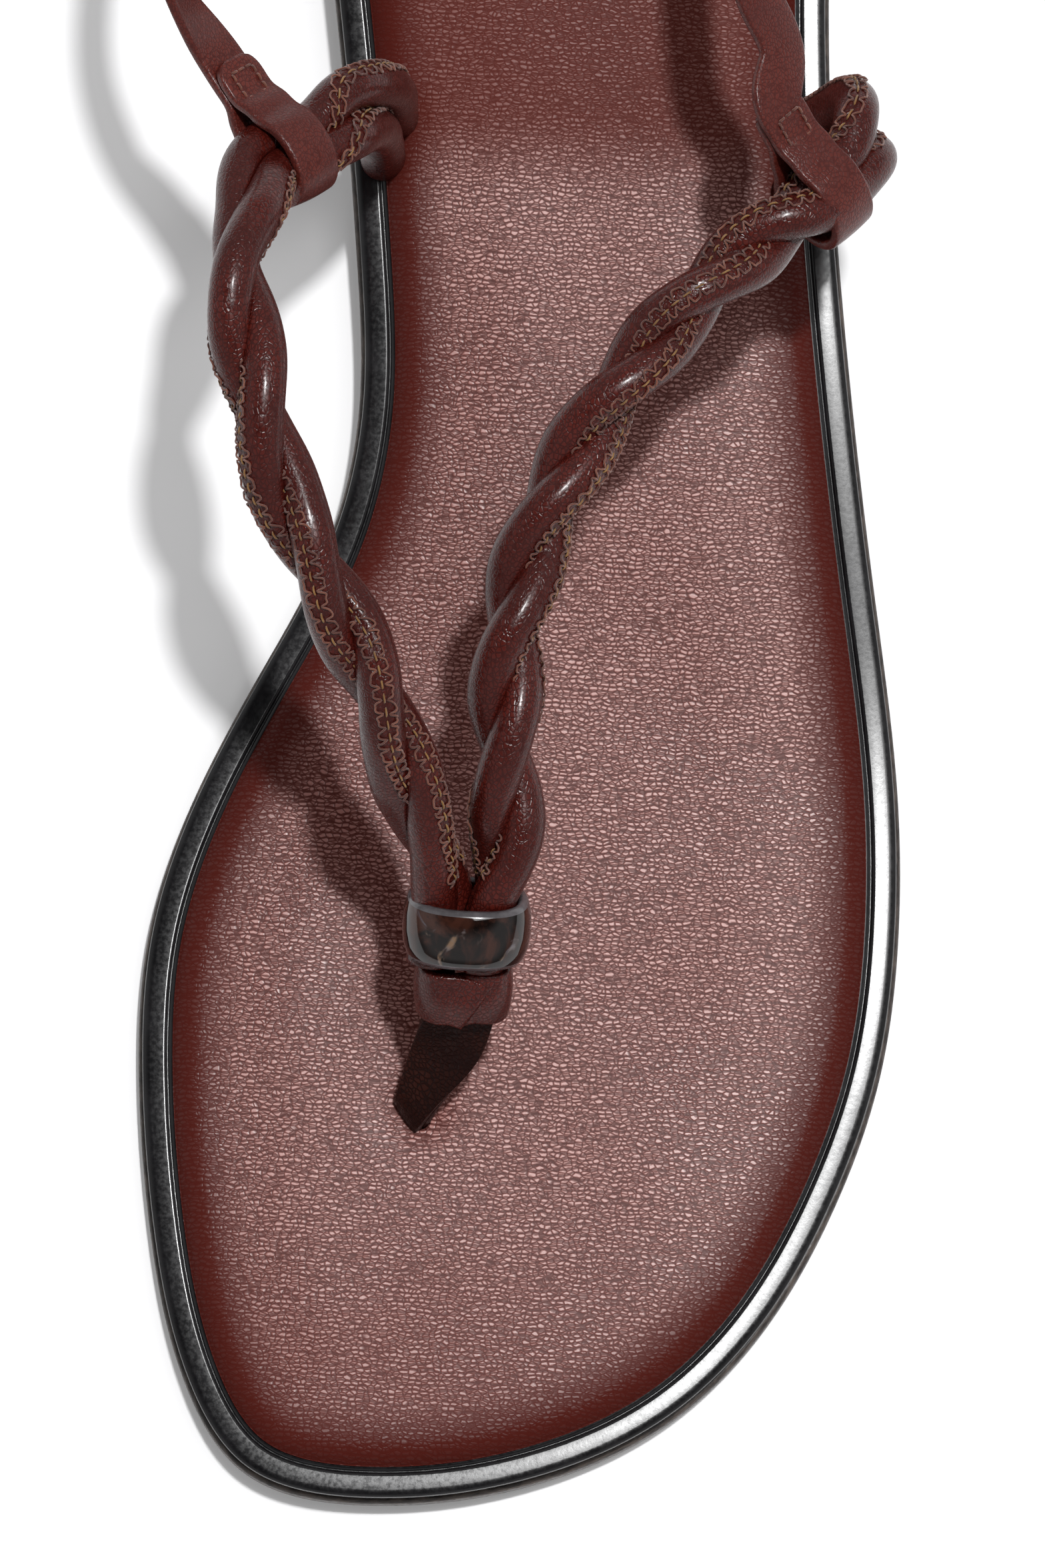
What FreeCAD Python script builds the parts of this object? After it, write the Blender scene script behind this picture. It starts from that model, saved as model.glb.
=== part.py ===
import FreeCAD, Part
import math
import os

# Left-foot thong sandal. Millimetres, +Z up, +Y towards the heel, +X towards the outer side of the foot.
# The origin lies on the ground under the middle of the whole sandal's box.

# ---------------------------------------------------------------- driving dimensions
SOLE_LAYER = 3.0          # thickness of the outsole and of the midsole
SOLE_EDGE = 2 * SOLE_LAYER
OUTSOLE_LEDGE = 0.4       # the outsole stands out this far under the rim
RIM_WIDTH = 5.6           # whole width of the rim, its inner part under the insole
RIM_SHOWN = 3.9           # width of the rim that shows round the insole
COVER_TOP = 2.7           # insole leather top above the rim
COVER_EDGE_ROUND = 1.3
PAD_THICK = 1.4
PAD_INSET = 5.3
HEEL_FRONT = 64.0         # y of the heel block's front face
HEEL_RISE = 5.5           # height of the heel under the outsole
TOP_PIECE = 3.0
CORD_R = 2.1              # rolled leather cord
CORD_WALL = 0.6
CORE_GAP = 0.05
STRAND_R = 2.42           # distance of each cord's middle from the middle of its pair
SEAM_R = 0.3
SEAM_ORBIT = 5.3          # distance of the seam thread from the middle of the pair
SEAM_START, SEAM_END = 0.2, 0.93  # share of a strap's turns that its seams run along
HOLE_R = 2.35             # holes in the sole for the cord ends
STRAP_W = 6.5
STRAP_T = 1.2
LINING_T = 0.8
LOOP_LONG = 6.0           # half axes of the middle line of the strap's loops round the cords
LOOP_SHORT = 4.8
FOLD_OFFSET = 0.68        # half the distance between the two layers of a folded strap end
RING_W, RING_D, RING_H = 15.0, 13.6, 7.2
RING_BORE_W, RING_BORE_D = 11.4, 10.6
FRAME_WIRE = 0.8          # radius of the buckle frame's wire
FRAME_LONG = 9.0
FRAME_HALF = 4.6
PRONG_R = 0.65
PRONG_FIT = 0.05          # radial running fit of the prong on its bar
KEEPER_WALL = 1.0
KEEPER_LONG = 3.5
KEEPER_GAP = 0.35
BOX_THREAD_R = 0.25
FOLD_TIP = 12.6            # how far a folded strap end reaches from the middle of its loop
STITCH_AT = 10.4           # middle of the square of stitches that closes the fold
BOX_STITCH = 3.2

# Outer edge of the sole seen from above, from the toe round by the inner side of the foot.
OUTLINE = [
    (-9.5, -126.0), (-24.3, -123.0), (-31.4, -113.5), (-36.6, -96.4), (-39.3, -77.0),
    (-39.2, -61.2), (-35.1, -45.2), (-27.9, -29.0), (-20.9, -12.9), (-18.5, 3.0),
    (-19.7, 18.5), (-23.0, 42.0), (-26.8, 66.0), (-28.2, 84.0), (-26.6, 101.0),
    (-20.5, 115.0), (-10.5, 123.6), (2.0, 126.0), (14.5, 122.6), (24.5, 112.5),
    (30.2, 97.0), (32.0, 78.0), (32.7, 58.0), (34.6, 34.0), (37.3, 14.2),
    (42.6, -16.0), (46.8, -40.0), (47.8, -56.0), (46.6, -72.5), (42.2, -88.0),
    (35.4, -102.0), (24.5, -114.4), (9.5, -122.4),
]
# Height of the underside of the sole along its length: it rises to the toe, is flat under the ball of
# the foot, climbs through the arch and is flat again over the heel.
TOE_RISE = [(-135.0, 2.6), (-120.0, 1.3), (-104.0, 0.35), (-88.0, 0.0)]
ARCH_RISE = [(-46.0, 0.0), (-30.0, 0.6), (-12.0, 2.2), (8.0, 3.9), (30.0, 5.0), (50.0, 5.42), (62.0, HEEL_RISE)]
SOLE_END = 135.0
OUTLINE_STEPS = 81


def vec(x, y, z):
    return FreeCAD.Vector(x, y, z)


def unit(v):
    return FreeCAD.Vector(v).normalize()


# Ring bead and toe post
RING_AT = vec(-2.1, -62.0, 30.0)
RING_AXIS = unit(vec(0.0, 0.883, 0.469))
RING_FRONT = unit(vec(0.0, -0.469, 0.883))
SIDEWAYS = vec(1, 0, 0)
SLOT = (-7.2, -80.4)
POST_TURN = math.radians(-50.7)
WRAP_AT = vec(-2.3, -68.9, 24.4)
WRAP_AXIS = unit(vec(0.0, 0.66, 0.75))
WRAP_FRONT = unit(vec(0.0, -0.75, 0.66))

# Middle lines of the two twisted straps, from the ring to the strap loops.
MEDIAL_LINE = [
    vec(-5.1, -65.2, 28.3), vec(-5.1, -58.6, 31.8), vec(-7.6, -51.8, 38.4), vec(-11.6, -42.4, 47.6),
    vec(-16.9, -31.9, 54.0), vec(-25.3, -17.4, 59.0), vec(-31.1, 1.0, 62.0), vec(-32.6, 9.4, 60.8),
    vec(-31.6, 17.6, 56.2),
]
LATERAL_LINE = [
    vec(0.9, -65.2, 28.3), vec(0.9, -58.6, 31.8), vec(1.9, -52.5, 35.6), vec(1.2, -43.5, 40.2),
    vec(0.8, -32.8, 44.0), vec(2.3, -21.1, 46.0), vec(12.5, 0.9, 49.0), vec(20.8, 11.6, 48.6),
    vec(28.6, 19.6, 46.4),
]
MEDIAL_LOOP = vec(-28.2, 24.3, 50.0)
LATERAL_LOOP = vec(33.7, 24.6, 44.0)
MEDIAL_DIR = unit(vec(0.62, 0.50, -0.60))       # run of the cords through the inner loop
LATERAL_DIR = unit(vec(0.62, 0.68, -0.40))      # run of the cords through the outer loop
LOOP_HALF_RUN = 4.6
# Each cord's way from its loop down to its hole beside the insole; the last point is in the sole.
MEDIAL_ENDS = (
    [vec(-22.9, 31.8, 45.0), vec(-19.0, 34.0, 40.0), vec(-16.9, 35.0, 31.0), vec(-16.6, 35.2, 20.0)],
    [vec(-20.2, 26.6, 44.0), vec(-18.0, 28.4, 37.5), vec(-17.1, 29.2, 28.0), vec(-17.0, 29.4, 19.0)],
)
LATERAL_ENDS = (
    [vec(39.4, 29.8, 38.4), vec(38.3, 31.4, 32.5), vec(34.9, 31.0, 25.0), vec(31.4, 30.6, 18.0),
     vec(30.8, 30.4, 13.5)],
    [vec(37.0, 34.2, 41.5), vec(36.6, 37.2, 36.5), vec(33.9, 37.2, 27.5), vec(31.0, 36.6, 19.0),
     vec(30.4, 36.4, 14.0)],
)
MEDIAL_TURNS = 2
LATERAL_TURNS = 2.5

# Middle line of the ankle strap's leather and its width direction, from the inner loop round the heel.
RING_LINE = [
    (vec(-41.6, 41.2, 53.6), vec(0.42, 0.12, -0.90)),
    (vec(-45.0, 50.0, 55.0), vec(0.38, 0.05, -0.92)),
    (vec(-45.9, 61.0, 56.0), vec(0.36, 0.0, -0.93)),
    (vec(-43.6, 76.0, 57.4), vec(0.35, 0.0, -0.94)),
    (vec(-37.6, 91.0, 58.8), vec(0.35, 0.0, -0.94)),
    (vec(-28.0, 103.6, 59.8), vec(0.35, 0.0, -0.94)),
    (vec(-15.0, 111.4, 60.4), vec(0.35, 0.05, -0.94)),
    (vec(-1.0, 113.4, 60.8), vec(0.38, 0.10, -0.92)),
    (vec(11.0, 109.6, 60.6), vec(0.48, 0.10, -0.87)),
    (vec(18.2, 103.0, 60.0), vec(0.62, 0.05, -0.78)),
]
SHORT_LINE = [
    (vec(28.0, 39.0, 49.8), vec(0.68, 0.35, -0.60)),
    (vec(24.9, 45.4, 52.6), vec(0.73, 0.15, -0.64)),
    (vec(23.2, 52.5, 54.4), vec(0.75, 0.02, -0.66)),
]
# Buckle: hinge bar's middle, direction away from the short strap, width direction.
BUCKLE_AT = vec(22.0, 84.0, 58.0)
BUCKLE_U = unit(vec(-0.011, 0.995, 0.0995))
BUCKLE_W = unit(vec(0.75, 0.0, -0.66))
BUCKLE_N = unit(BUCKLE_W.cross(BUCKLE_U))
BUCKLE_W = unit(BUCKLE_U.cross(BUCKLE_N))


# ---------------------------------------------------------------- general helpers
def save(shape, name):
    shape.exportStep("parts/" + name + ".step")


def outline_face(inset, z=-10.0):
    """The outline of the sole, moved in by inset, as a face at height z."""
    outline = Part.BSplineCurve()
    outline.interpolate([vec(x, y, z) for x, y in OUTLINE], PeriodicFlag=True)
    moved = []
    for point in outline.discretize(Number=OUTLINE_STEPS)[:-1]:
        run = outline.tangent(outline.parameter(point))[0]
        moved.append(point + vec(run.y, -run.x, 0) * inset)
    edge = Part.BSplineCurve()
    edge.interpolate(moved, PeriodicFlag=True)
    return Part.Face(Part.Wire([edge.toShape()]))


def profile_edges(x, rise):
    """The sole's underside, lifted by rise, as edges in the plane of constant x."""
    toe = Part.BSplineCurve()
    toe.interpolate([vec(x, y, z + rise) for y, z in TOE_RISE], FinalTangent=vec(0, 1, 0))
    arch = Part.BSplineCurve()
    arch.interpolate([vec(x, y, z + rise) for y, z in ARCH_RISE], InitialTangent=vec(0, 1, 0),
                     FinalTangent=vec(0, 1, 0))
    ball_end, heel_start = ARCH_RISE[0], ARCH_RISE[-1]
    ball = Part.LineSegment(vec(x, TOE_RISE[-1][0], rise), vec(x, ball_end[0], rise))
    heel = Part.LineSegment(vec(x, heel_start[0], HEEL_RISE + rise), vec(x, SOLE_END, HEEL_RISE + rise))
    return [curve.toShape() for curve in (toe, ball, arch, heel)]


def slab(low, high):
    """The space between two heights above the sole's underside, wider than the sole."""
    x = -70.0
    ends = []
    for y, z in (TOE_RISE[0], (SOLE_END, HEEL_RISE)):
        ends.append(Part.LineSegment(vec(x, y, z + low), vec(x, y, z + high)).toShape())
    edges = profile_edges(x, low) + profile_edges(x, high) + ends
    wire = Part.Wire(Part.__sortEdges__(edges))
    return Part.Face(wire).extrude(vec(140, 0, 0))


def layer(face, low, high):
    return face.extrude(vec(0, 0, 60)).common(slab(low, high))


def profile_height(y):
    cut = Part.LineSegment(vec(0, y, -50), vec(0, y, 50)).toShape()
    return Part.Wire(profile_edges(0, 0)).distToShape(cut)[1][0][0].z


def rounded_path(points, share=0.45):
    """Straight runs joined by tangent arcs, each as large as its two runs allow."""
    edges = []
    here = points[0]
    for before, corner, after in zip(points, points[1:], points[2:]):
        into = unit(corner - before)
        out = unit(after - corner)
        turn = into.getAngle(out)
        if turn < 0.01:
            continue
        cut = share * min((corner - before).Length, (after - corner).Length)
        radius = cut / math.tan(turn / 2)
        start = corner - into * cut
        end = corner + out * cut
        middle = corner + unit(out - into) * (radius / math.cos(turn / 2) - radius)
        edges.append(Part.LineSegment(here, start).toShape())
        edges.append(Part.Arc(start, middle, end).toShape())
        here = end
    edges.append(Part.LineSegment(here, points[-1]).toShape())
    return Part.Wire(edges)


def tube(points, radius):
    path = rounded_path(points)
    circle = Part.Circle(points[0], unit(points[1] - points[0]), radius).toShape()
    return path.makePipeShell([Part.Wire([circle])], True, False)


def ribbon(stations, width, low, high):
    """A flat strap: rectangles across its line, joined by ruled faces. low and high are the heights
    of its two faces above the line, along (run of the strap) x (width direction)."""
    sections = []
    count = len(stations)
    for i, (point, across) in enumerate(stations):
        before = stations[max(i - 1, 0)][0]
        after = stations[min(i + 1, count - 1)][0]
        along = unit(after - before)
        normal = unit(along.cross(across))
        wide = unit(normal.cross(along)) * (width / 2)
        corners = [point + wide + normal * high, point - wide + normal * high,
                   point - wide + normal * low, point + wide + normal * low]
        sections.append(Part.makePolygon(corners + corners[:1]))
    return Part.makeLoft(sections, True, True)


def placed(points, origin, u, v):
    return [origin + u * a + v * b for a, b in points]


# ---------------------------------------------------------------- sole
def end_points(line_ends):
    """A cord's end, led straight down to the top of the outsole."""
    last = line_ends[-1]
    floor = profile_height(last.y) + SOLE_LAYER
    return line_ends + [vec(last.x, last.y, floor + 0.3)]


def cord_holes():
    holes = []
    for ends in MEDIAL_ENDS + LATERAL_ENDS:
        last = ends[-1]
        floor = profile_height(last.y) + SOLE_LAYER
        holes.append(Part.makeCylinder(HOLE_R, 30, vec(last.x, last.y, floor)))
    return Part.makeCompound(holes)


def post_slot():
    box = Part.makeBox(5.6, 2.9, 30, vec(-2.8, -1.45, 0))
    box.rotate(vec(0, 0, 0), vec(0, 0, 1), math.degrees(POST_TURN))
    box.translate(vec(SLOT[0], SLOT[1], SOLE_LAYER - 0.5))
    return box


def post_foot():
    face = Part.Face(Part.makePolygon([vec(SLOT[0] + x, SLOT[1] + y, -10) for x, y in
                                       ((-6, -5), (6, -5), (6, 5), (-6, 5), (-6, -5))]))
    return layer(face, SOLE_LAYER, SOLE_LAYER + 1.1)


def make_shank():
    face = Part.Face(Part.makePolygon([vec(x, y, -10) for x, y in
                                       ((4, -22), (15, -22), (10, 76), (-1, 76), (4, -22))]))
    return layer(face, SOLE_LAYER, SOLE_LAYER + 1.2)


def make_nails():
    nails = []
    for x, y in ((-17, 78), (19, 78), (-15, 104), (16, 104), (1, 92)):
        nails.append(Part.makeCylinder(0.9, 6.5, vec(x, y, 1.2)))
    return Part.makeCompound(nails)


def make_sole():
    holes = cord_holes()
    slot = post_slot()
    shank = make_shank()
    nails = make_nails()
    whole = outline_face(0)
    save(layer(outline_face(-OUTSOLE_LEDGE), 0.0, SOLE_LAYER).cut(nails), "outsole")
    inner = layer(outline_face(RIM_WIDTH), SOLE_LAYER, SOLE_EDGE)
    rim = layer(whole, SOLE_LAYER, SOLE_EDGE).cut(layer(outline_face(RIM_WIDTH), 0, 2 * SOLE_EDGE))
    save(rim.cut(holes), "welt_rim")
    save(inner.cut(shank).cut(post_foot()).cut(holes).cut(slot), "midsole_board")
    save(shank, "shank")
    pad = layer(outline_face(PAD_INSET), SOLE_EDGE, SOLE_EDGE + PAD_THICK)
    cover = layer(outline_face(RIM_SHOWN), SOLE_EDGE, SOLE_EDGE + COVER_TOP)
    top_edges = [e for e in cover.Edges if on_top(e)]
    cover = cover.makeFillet(COVER_EDGE_ROUND, top_edges)
    save(cover.cut(pad).cut(holes).cut(slot), "insole_cover")
    save(pad.cut(holes).cut(slot), "insole_pad")
    lift_space = Part.makeBox(120, 80, HEEL_RISE - TOP_PIECE, vec(-60, HEEL_FRONT, TOP_PIECE))
    top_space = Part.makeBox(120, 80, TOP_PIECE, vec(-60, HEEL_FRONT, 0))
    lift = outline_face(0.3).extrude(vec(0, 0, 60)).common(lift_space)
    top_piece = outline_face(0.9).extrude(vec(0, 0, 60)).common(top_space)
    save(lift.cut(nails), "heel_lift")
    save(top_piece.cut(nails), "heel_top_piece")
    save(nails, "heel_nails")


def on_top(edge):
    """True for an edge that runs along the top of the insole leather."""
    for vertex in edge.discretize(5):
        if abs(vertex.z - profile_height(vertex.y) - SOLE_EDGE - COVER_TOP) > 0.05:
            return False
    return True


# ---------------------------------------------------------------- toe post and ring
def rectangle(centre, across, normal, width, thick):
    a = unit(across) * (width / 2)
    b = unit(normal) * (thick / 2)
    corners = [centre + a + b, centre - a + b, centre - a - b, centre + a - b]
    return Part.makePolygon(corners + corners[:1])


def make_toe_post():
    turn = vec(math.cos(POST_TURN), math.sin(POST_TURN), 0)
    flat = vec(-math.sin(POST_TURN), math.cos(POST_TURN), 0)
    x, y = SLOT
    sections = [
        rectangle(vec(x, y, SOLE_LAYER + 1.0), turn, flat, 5.0, 2.3),
        rectangle(vec(x, y, 9.8), turn, flat, 5.0, 2.3),
        rectangle(vec(-5.2, -76.6, 14.4), vec(0.86, -0.50, 0.1), vec(0.40, 0.62, -0.67), 6.2, 2.4),
        rectangle(vec(-2.45, -71.9, 20.4), vec(1, -0.1, 0), vec(0.08, 0.75, -0.66), 7.1, 2.3),
        rectangle(vec(-2.0, -68.4, 25.0), vec(1, 0, 0), WRAP_FRONT, 7.6, 2.4),
    ]
    stem = Part.makeLoft(sections, True, True)
    save(stem.fuse(post_foot()).removeSplitter(), "toe_post")


def make_wraps():
    """Two bands laid round the top of the post from behind, meeting at its front."""
    half = [(1.0, -2.1), (3.6, -2.1), (4.75, -1.35), (4.9, 0.0), (4.7, 1.3), (3.6, 2.05), (0.35, 2.05)]
    for name, side in (("post_wrap_medial", -1), ("post_wrap_lateral", 1)):
        path = placed([(side * a, b) for a, b in half], WRAP_AT, SIDEWAYS, WRAP_FRONT)
        save(ribbon([(p, WRAP_AXIS) for p in path], 6.2, -0.6, 0.6), name)


def rounded_prism(width, depth, height, corner, centre, axis, front):
    side = unit(axis.cross(front))
    base = Part.makeBox(width, depth, height, vec(-width / 2, -depth / 2, -height / 2))
    upright = [e for e in base.Edges if abs(e.tangentAt(e.FirstParameter).z) > 0.9]
    base = base.makeFillet(corner, upright)
    turn = FreeCAD.Matrix(side.x, -front.x, axis.x, centre.x, side.y, -front.y, axis.y, centre.y,
                          side.z, -front.z, axis.z, centre.z, 0, 0, 0, 1)
    return base, turn


def make_ring():
    body, turn = rounded_prism(RING_W, RING_D, RING_H, 5.2, RING_AT, RING_AXIS, RING_FRONT)
    bore, _ = rounded_prism(RING_BORE_W, RING_BORE_D, RING_H + 2, 3.0, RING_AT, RING_AXIS, RING_FRONT)
    rims = [e for e in body.Edges if abs(abs(e.CenterOfMass.z) - RING_H / 2) < 1e-6]
    body = body.makeFillet(0.7, rims)
    ring = body.cut(bore)
    save(ring.transformGeometry(turn), "ring_bead")


# ---------------------------------------------------------------- twisted straps
def ease(t):
    """Slow start of the twist, where the two straps still lie side by side."""
    return t * t / (t + 0.10) * 1.10


def frames_along(points, first_normal):
    """Frames carried along a line without turning about it."""
    frames = []
    normal = first_normal
    count = len(points)
    for i, point in enumerate(points):
        along = unit(points[min(i + 1, count - 1)] - points[max(i - 1, 0)])
        normal = unit(normal - along * normal.dot(along))
        frames.append((point, normal, along.cross(normal)))
    return frames


def twisted_pair(line, loop, loop_dir, loop_axis, turns):
    """Points of the pair's two cords and of their seams, from the ring to the end of the loop."""
    curve = Part.BSplineCurve()
    curve.interpolate(line + [loop - loop_dir * LOOP_HALF_RUN, loop + loop_dir * LOOP_HALF_RUN])
    length = curve.toShape().Length
    steps = int(length / 3.9)
    frames = frames_along(curve.toShape().discretize(Number=steps + 1), RING_FRONT)
    ring_steps = 2
    loop_steps = 3
    free = steps - ring_steps - loop_steps
    _, last_n, last_b = frames[-2]
    last_angle = math.atan2(loop_axis.dot(last_b), loop_axis.dot(last_n))
    total = 2 * math.pi * turns + last_angle % (2 * math.pi)
    cords = ([], [])
    seams = ([], [])
    for i, (point, normal, other) in enumerate(frames):
        share = min(max((i - ring_steps) / free, 0.0), 1.0)
        angle = total * ease(share)
        for side, sign in ((0, 1), (1, -1)):
            out = (normal * math.cos(angle) + other * math.sin(angle)) * sign
            cords[side].append(point + out * STRAND_R)
            if SEAM_START < share < SEAM_END:
                seams[side].append(point + out * SEAM_ORBIT)
    return cords, seams


def make_straps():
    plan = (
        ("medial", MEDIAL_LINE, MEDIAL_LOOP, MEDIAL_DIR, medial_axes()[0], MEDIAL_TURNS, MEDIAL_ENDS),
        ("lateral", LATERAL_LINE, LATERAL_LOOP, LATERAL_DIR, lateral_axes()[0], LATERAL_TURNS,
         LATERAL_ENDS),
    )
    for name, line, loop, run, axis, turns, ends in plan:
        cords, seams = twisted_pair(line, loop, run, axis, turns)
        for side, letter in enumerate("ab"):
            points = cords[side] + end_points(ends[side])
            sheath = tube(points, CORD_R).cut(tube(points, CORD_R - CORD_WALL))
            save(sheath, name + "_cord_" + letter)
            save(tube(points, CORD_R - CORD_WALL - CORE_GAP), name + "_core_" + letter)
            save(tube(seams[side], SEAM_R), name + "_seam_" + letter)


# ---------------------------------------------------------------- ankle strap and buckle
def medial_axes():
    """Direction of the strap from the inner loop, and the direction of its face."""
    along = vec(-0.69, 0.71, 0.15)
    along = unit(along - MEDIAL_DIR * along.dot(MEDIAL_DIR))
    return along, unit(MEDIAL_DIR.cross(along))


def lateral_axes():
    along = vec(-0.30, 0.90, 0.33)
    along = unit(along - LATERAL_DIR * along.dot(LATERAL_DIR))
    return along, unit(LATERAL_DIR.cross(along))


def loop_stations(centre, along, face, across, fold_side):
    """From the folded end's tip, round the cords and back to the start of the strap."""
    points = [(FOLD_TIP, FOLD_OFFSET), (9.6, FOLD_OFFSET), (8.0, 1.0), (6.6, 1.9)]
    for degrees in range(36, 325, 24):
        angle = math.radians(degrees)
        points.append((LOOP_LONG * math.cos(angle), LOOP_SHORT * math.sin(angle)))
    points += [(6.6, -1.9), (8.0, -1.0), (9.6, -FOLD_OFFSET), (FOLD_TIP, -FOLD_OFFSET)]
    line = placed([(a, b * fold_side) for a, b in points], centre, along, face)
    return [(p, across) for p in line]


def buckle_place(pairs):
    return [(BUCKLE_AT + BUCKLE_U * u + BUCKLE_N * n, BUCKLE_W) for u, n in pairs]


def buckle_box(u0, u1, w0, w1, n0, n1):
    corners = [BUCKLE_AT + BUCKLE_U * u0 + BUCKLE_W * w + BUCKLE_N * n
               for w, n in ((w0, n0), (w1, n0), (w1, n1), (w0, n1), (w0, n0))]
    return Part.Face(Part.makePolygon(corners)).extrude(BUCKLE_U * (u1 - u0))


def make_ankle_strap():
    along, face = medial_axes()
    fold = loop_stations(MEDIAL_LOOP, along, face, MEDIAL_DIR, 1)
    through = buckle_place([(14.0, -1.6), (11.0, -1.95), (8.6, -1.9), (6.6, -0.6), (4.6, 1.0), (2.8, 2.4),
                            (1.2, 3.15), (-0.8, 3.2), (-2.8, 2.6), (-5.0, 1.65), (-7.0, 1.36),
                            (-12.0, 1.36), (-17.0, 1.36), (-22.0, 1.36)])
    strap = ribbon(fold + RING_LINE + through, STRAP_W, -STRAP_T / 2, STRAP_T / 2)
    hole = buckle_box(1.4, 8.4, -1.1, 1.1, -3.5, 3.2)
    spare_hole = Part.makeCylinder(1.0, 4, BUCKLE_AT - BUCKLE_U * 19 - BUCKLE_N * 0.1, BUCKLE_N)
    save(strap.cut(hole).cut(spare_hole), "ankle_strap")
    lined = RING_LINE + through[:1]
    lining = ribbon(lined, STRAP_W - 0.6, -STRAP_T / 2 - LINING_T, -STRAP_T / 2 - 0.1)
    save(lining, "ankle_strap_lining")


def make_buckle_strap():
    along, face = lateral_axes()
    fold = loop_stations(LATERAL_LOOP, along, face, LATERAL_DIR, -1)
    end = buckle_place([(-24.0, 0.0), (-14.0, 0.0), (-7.0, 0.0), (-4.4, 0.55), (-2.2, 1.5), (0.0, 1.8),
                        (1.3, 1.3), (1.8, 0.0), (1.3, -1.3), (0.0, -1.8), (-2.2, -1.7), (-4.4, -1.4),
                        (-9.0, -1.36)])
    strap = ribbon(fold + SHORT_LINE + end, STRAP_W, -STRAP_T / 2, STRAP_T / 2)
    notch = buckle_box(-1.9, 3.2, -1.4, 1.4, -3.0, 3.0)
    save(strap.cut(notch), "buckle_strap")


def make_buckle():
    half = FRAME_HALF
    corners = [(0, 0), (0, half), (FRAME_LONG, half), (FRAME_LONG, -half), (0, -half), (0, 0)]
    path = []
    for u, w in corners:
        path.append(BUCKLE_AT + BUCKLE_U * u + BUCKLE_W * w)
    wire = rounded_path(path, 0.3)
    circle = Part.Circle(path[0], BUCKLE_W, FRAME_WIRE).toShape()
    save(wire.makePipeShell([Part.Wire([circle])], True, False), "buckle_frame")
    eye_r = FRAME_WIRE + PRONG_FIT
    start = BUCKLE_AT - BUCKLE_W * 0.9
    eye = Part.makeCylinder(eye_r + 0.8, 1.8, start, BUCKLE_W)
    rise = FRAME_WIRE + PRONG_R + 0.1
    stem_from = BUCKLE_AT + BUCKLE_U * 0.9 + BUCKLE_N * 0.9
    stem_to = BUCKLE_AT + BUCKLE_U * (FRAME_LONG + 1.0) + BUCKLE_N * rise
    run = stem_to - stem_from
    stem = Part.makeCylinder(PRONG_R, run.Length, stem_from, run)
    stem = stem.fuse(Part.makeSphere(PRONG_R, stem_to))
    prong = eye.fuse(stem).cut(Part.makeCylinder(eye_r, 4, BUCKLE_AT - BUCKLE_W * 2, BUCKLE_W))
    save(prong.removeSplitter(), "buckle_prong")


def make_keeper():
    w = STRAP_W / 2 + KEEPER_GAP
    low = -STRAP_T / 2 - KEEPER_GAP
    high = 1.36 + STRAP_T / 2 + KEEPER_GAP
    wall = KEEPER_WALL
    u0 = -16.0
    outer = buckle_box(u0, u0 + KEEPER_LONG, -w - wall, w + wall, low - wall, high + wall)
    inner = buckle_box(u0 - 1, u0 + KEEPER_LONG + 1, -w, w, low, high)
    save(outer.cut(inner), "strap_keeper")


def make_box_stitch(name, centre, along, face, across, height):
    half = BOX_STITCH / 2
    spot = centre + along * STITCH_AT + face * height
    corners = [(-half, 0), (-half, half), (half, half), (half, -half), (-half, -half), (-half, 0)]
    path = placed(corners, spot, along, across)
    wire = rounded_path(path, 0.3)
    circle = Part.Circle(path[0], across, BOX_THREAD_R).toShape()
    save(wire.makePipeShell([Part.Wire([circle])], True, False), name)


def make_stitches():
    height = FOLD_OFFSET + STRAP_T / 2 + BOX_THREAD_R + 0.24
    along, face = medial_axes()
    make_box_stitch("medial_box_stitch", MEDIAL_LOOP, along, face, MEDIAL_DIR, height)
    along, face = lateral_axes()
    make_box_stitch("lateral_box_stitch", LATERAL_LOOP, along, face, LATERAL_DIR, height)


def main():
    os.makedirs("parts", exist_ok=True)
    make_sole()
    make_toe_post()
    make_wraps()
    make_ring()
    make_straps()
    make_ankle_strap()
    make_buckle_strap()
    make_buckle()
    make_keeper()
    make_stitches()


main()
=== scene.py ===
"""Looks of a left-foot leather toe-post sandal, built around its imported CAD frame."""
import math

import bmesh
import bpy
import numpy as np
from mathutils import Matrix, Vector
from mathutils.geometry import delaunay_2d_cdt
from mathutils.kdtree import KDTree


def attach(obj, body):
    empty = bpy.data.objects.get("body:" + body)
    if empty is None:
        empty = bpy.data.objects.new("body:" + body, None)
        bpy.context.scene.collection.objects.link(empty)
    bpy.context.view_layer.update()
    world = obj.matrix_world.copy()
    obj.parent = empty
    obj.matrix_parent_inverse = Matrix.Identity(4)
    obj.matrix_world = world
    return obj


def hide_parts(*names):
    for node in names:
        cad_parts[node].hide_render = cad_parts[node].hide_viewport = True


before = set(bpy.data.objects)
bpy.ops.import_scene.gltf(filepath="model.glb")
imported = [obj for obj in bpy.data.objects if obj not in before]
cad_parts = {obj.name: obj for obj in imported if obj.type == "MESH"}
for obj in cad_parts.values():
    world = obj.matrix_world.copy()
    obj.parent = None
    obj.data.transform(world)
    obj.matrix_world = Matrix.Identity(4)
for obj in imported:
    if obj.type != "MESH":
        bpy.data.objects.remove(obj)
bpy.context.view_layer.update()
MM = 0.001

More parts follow.
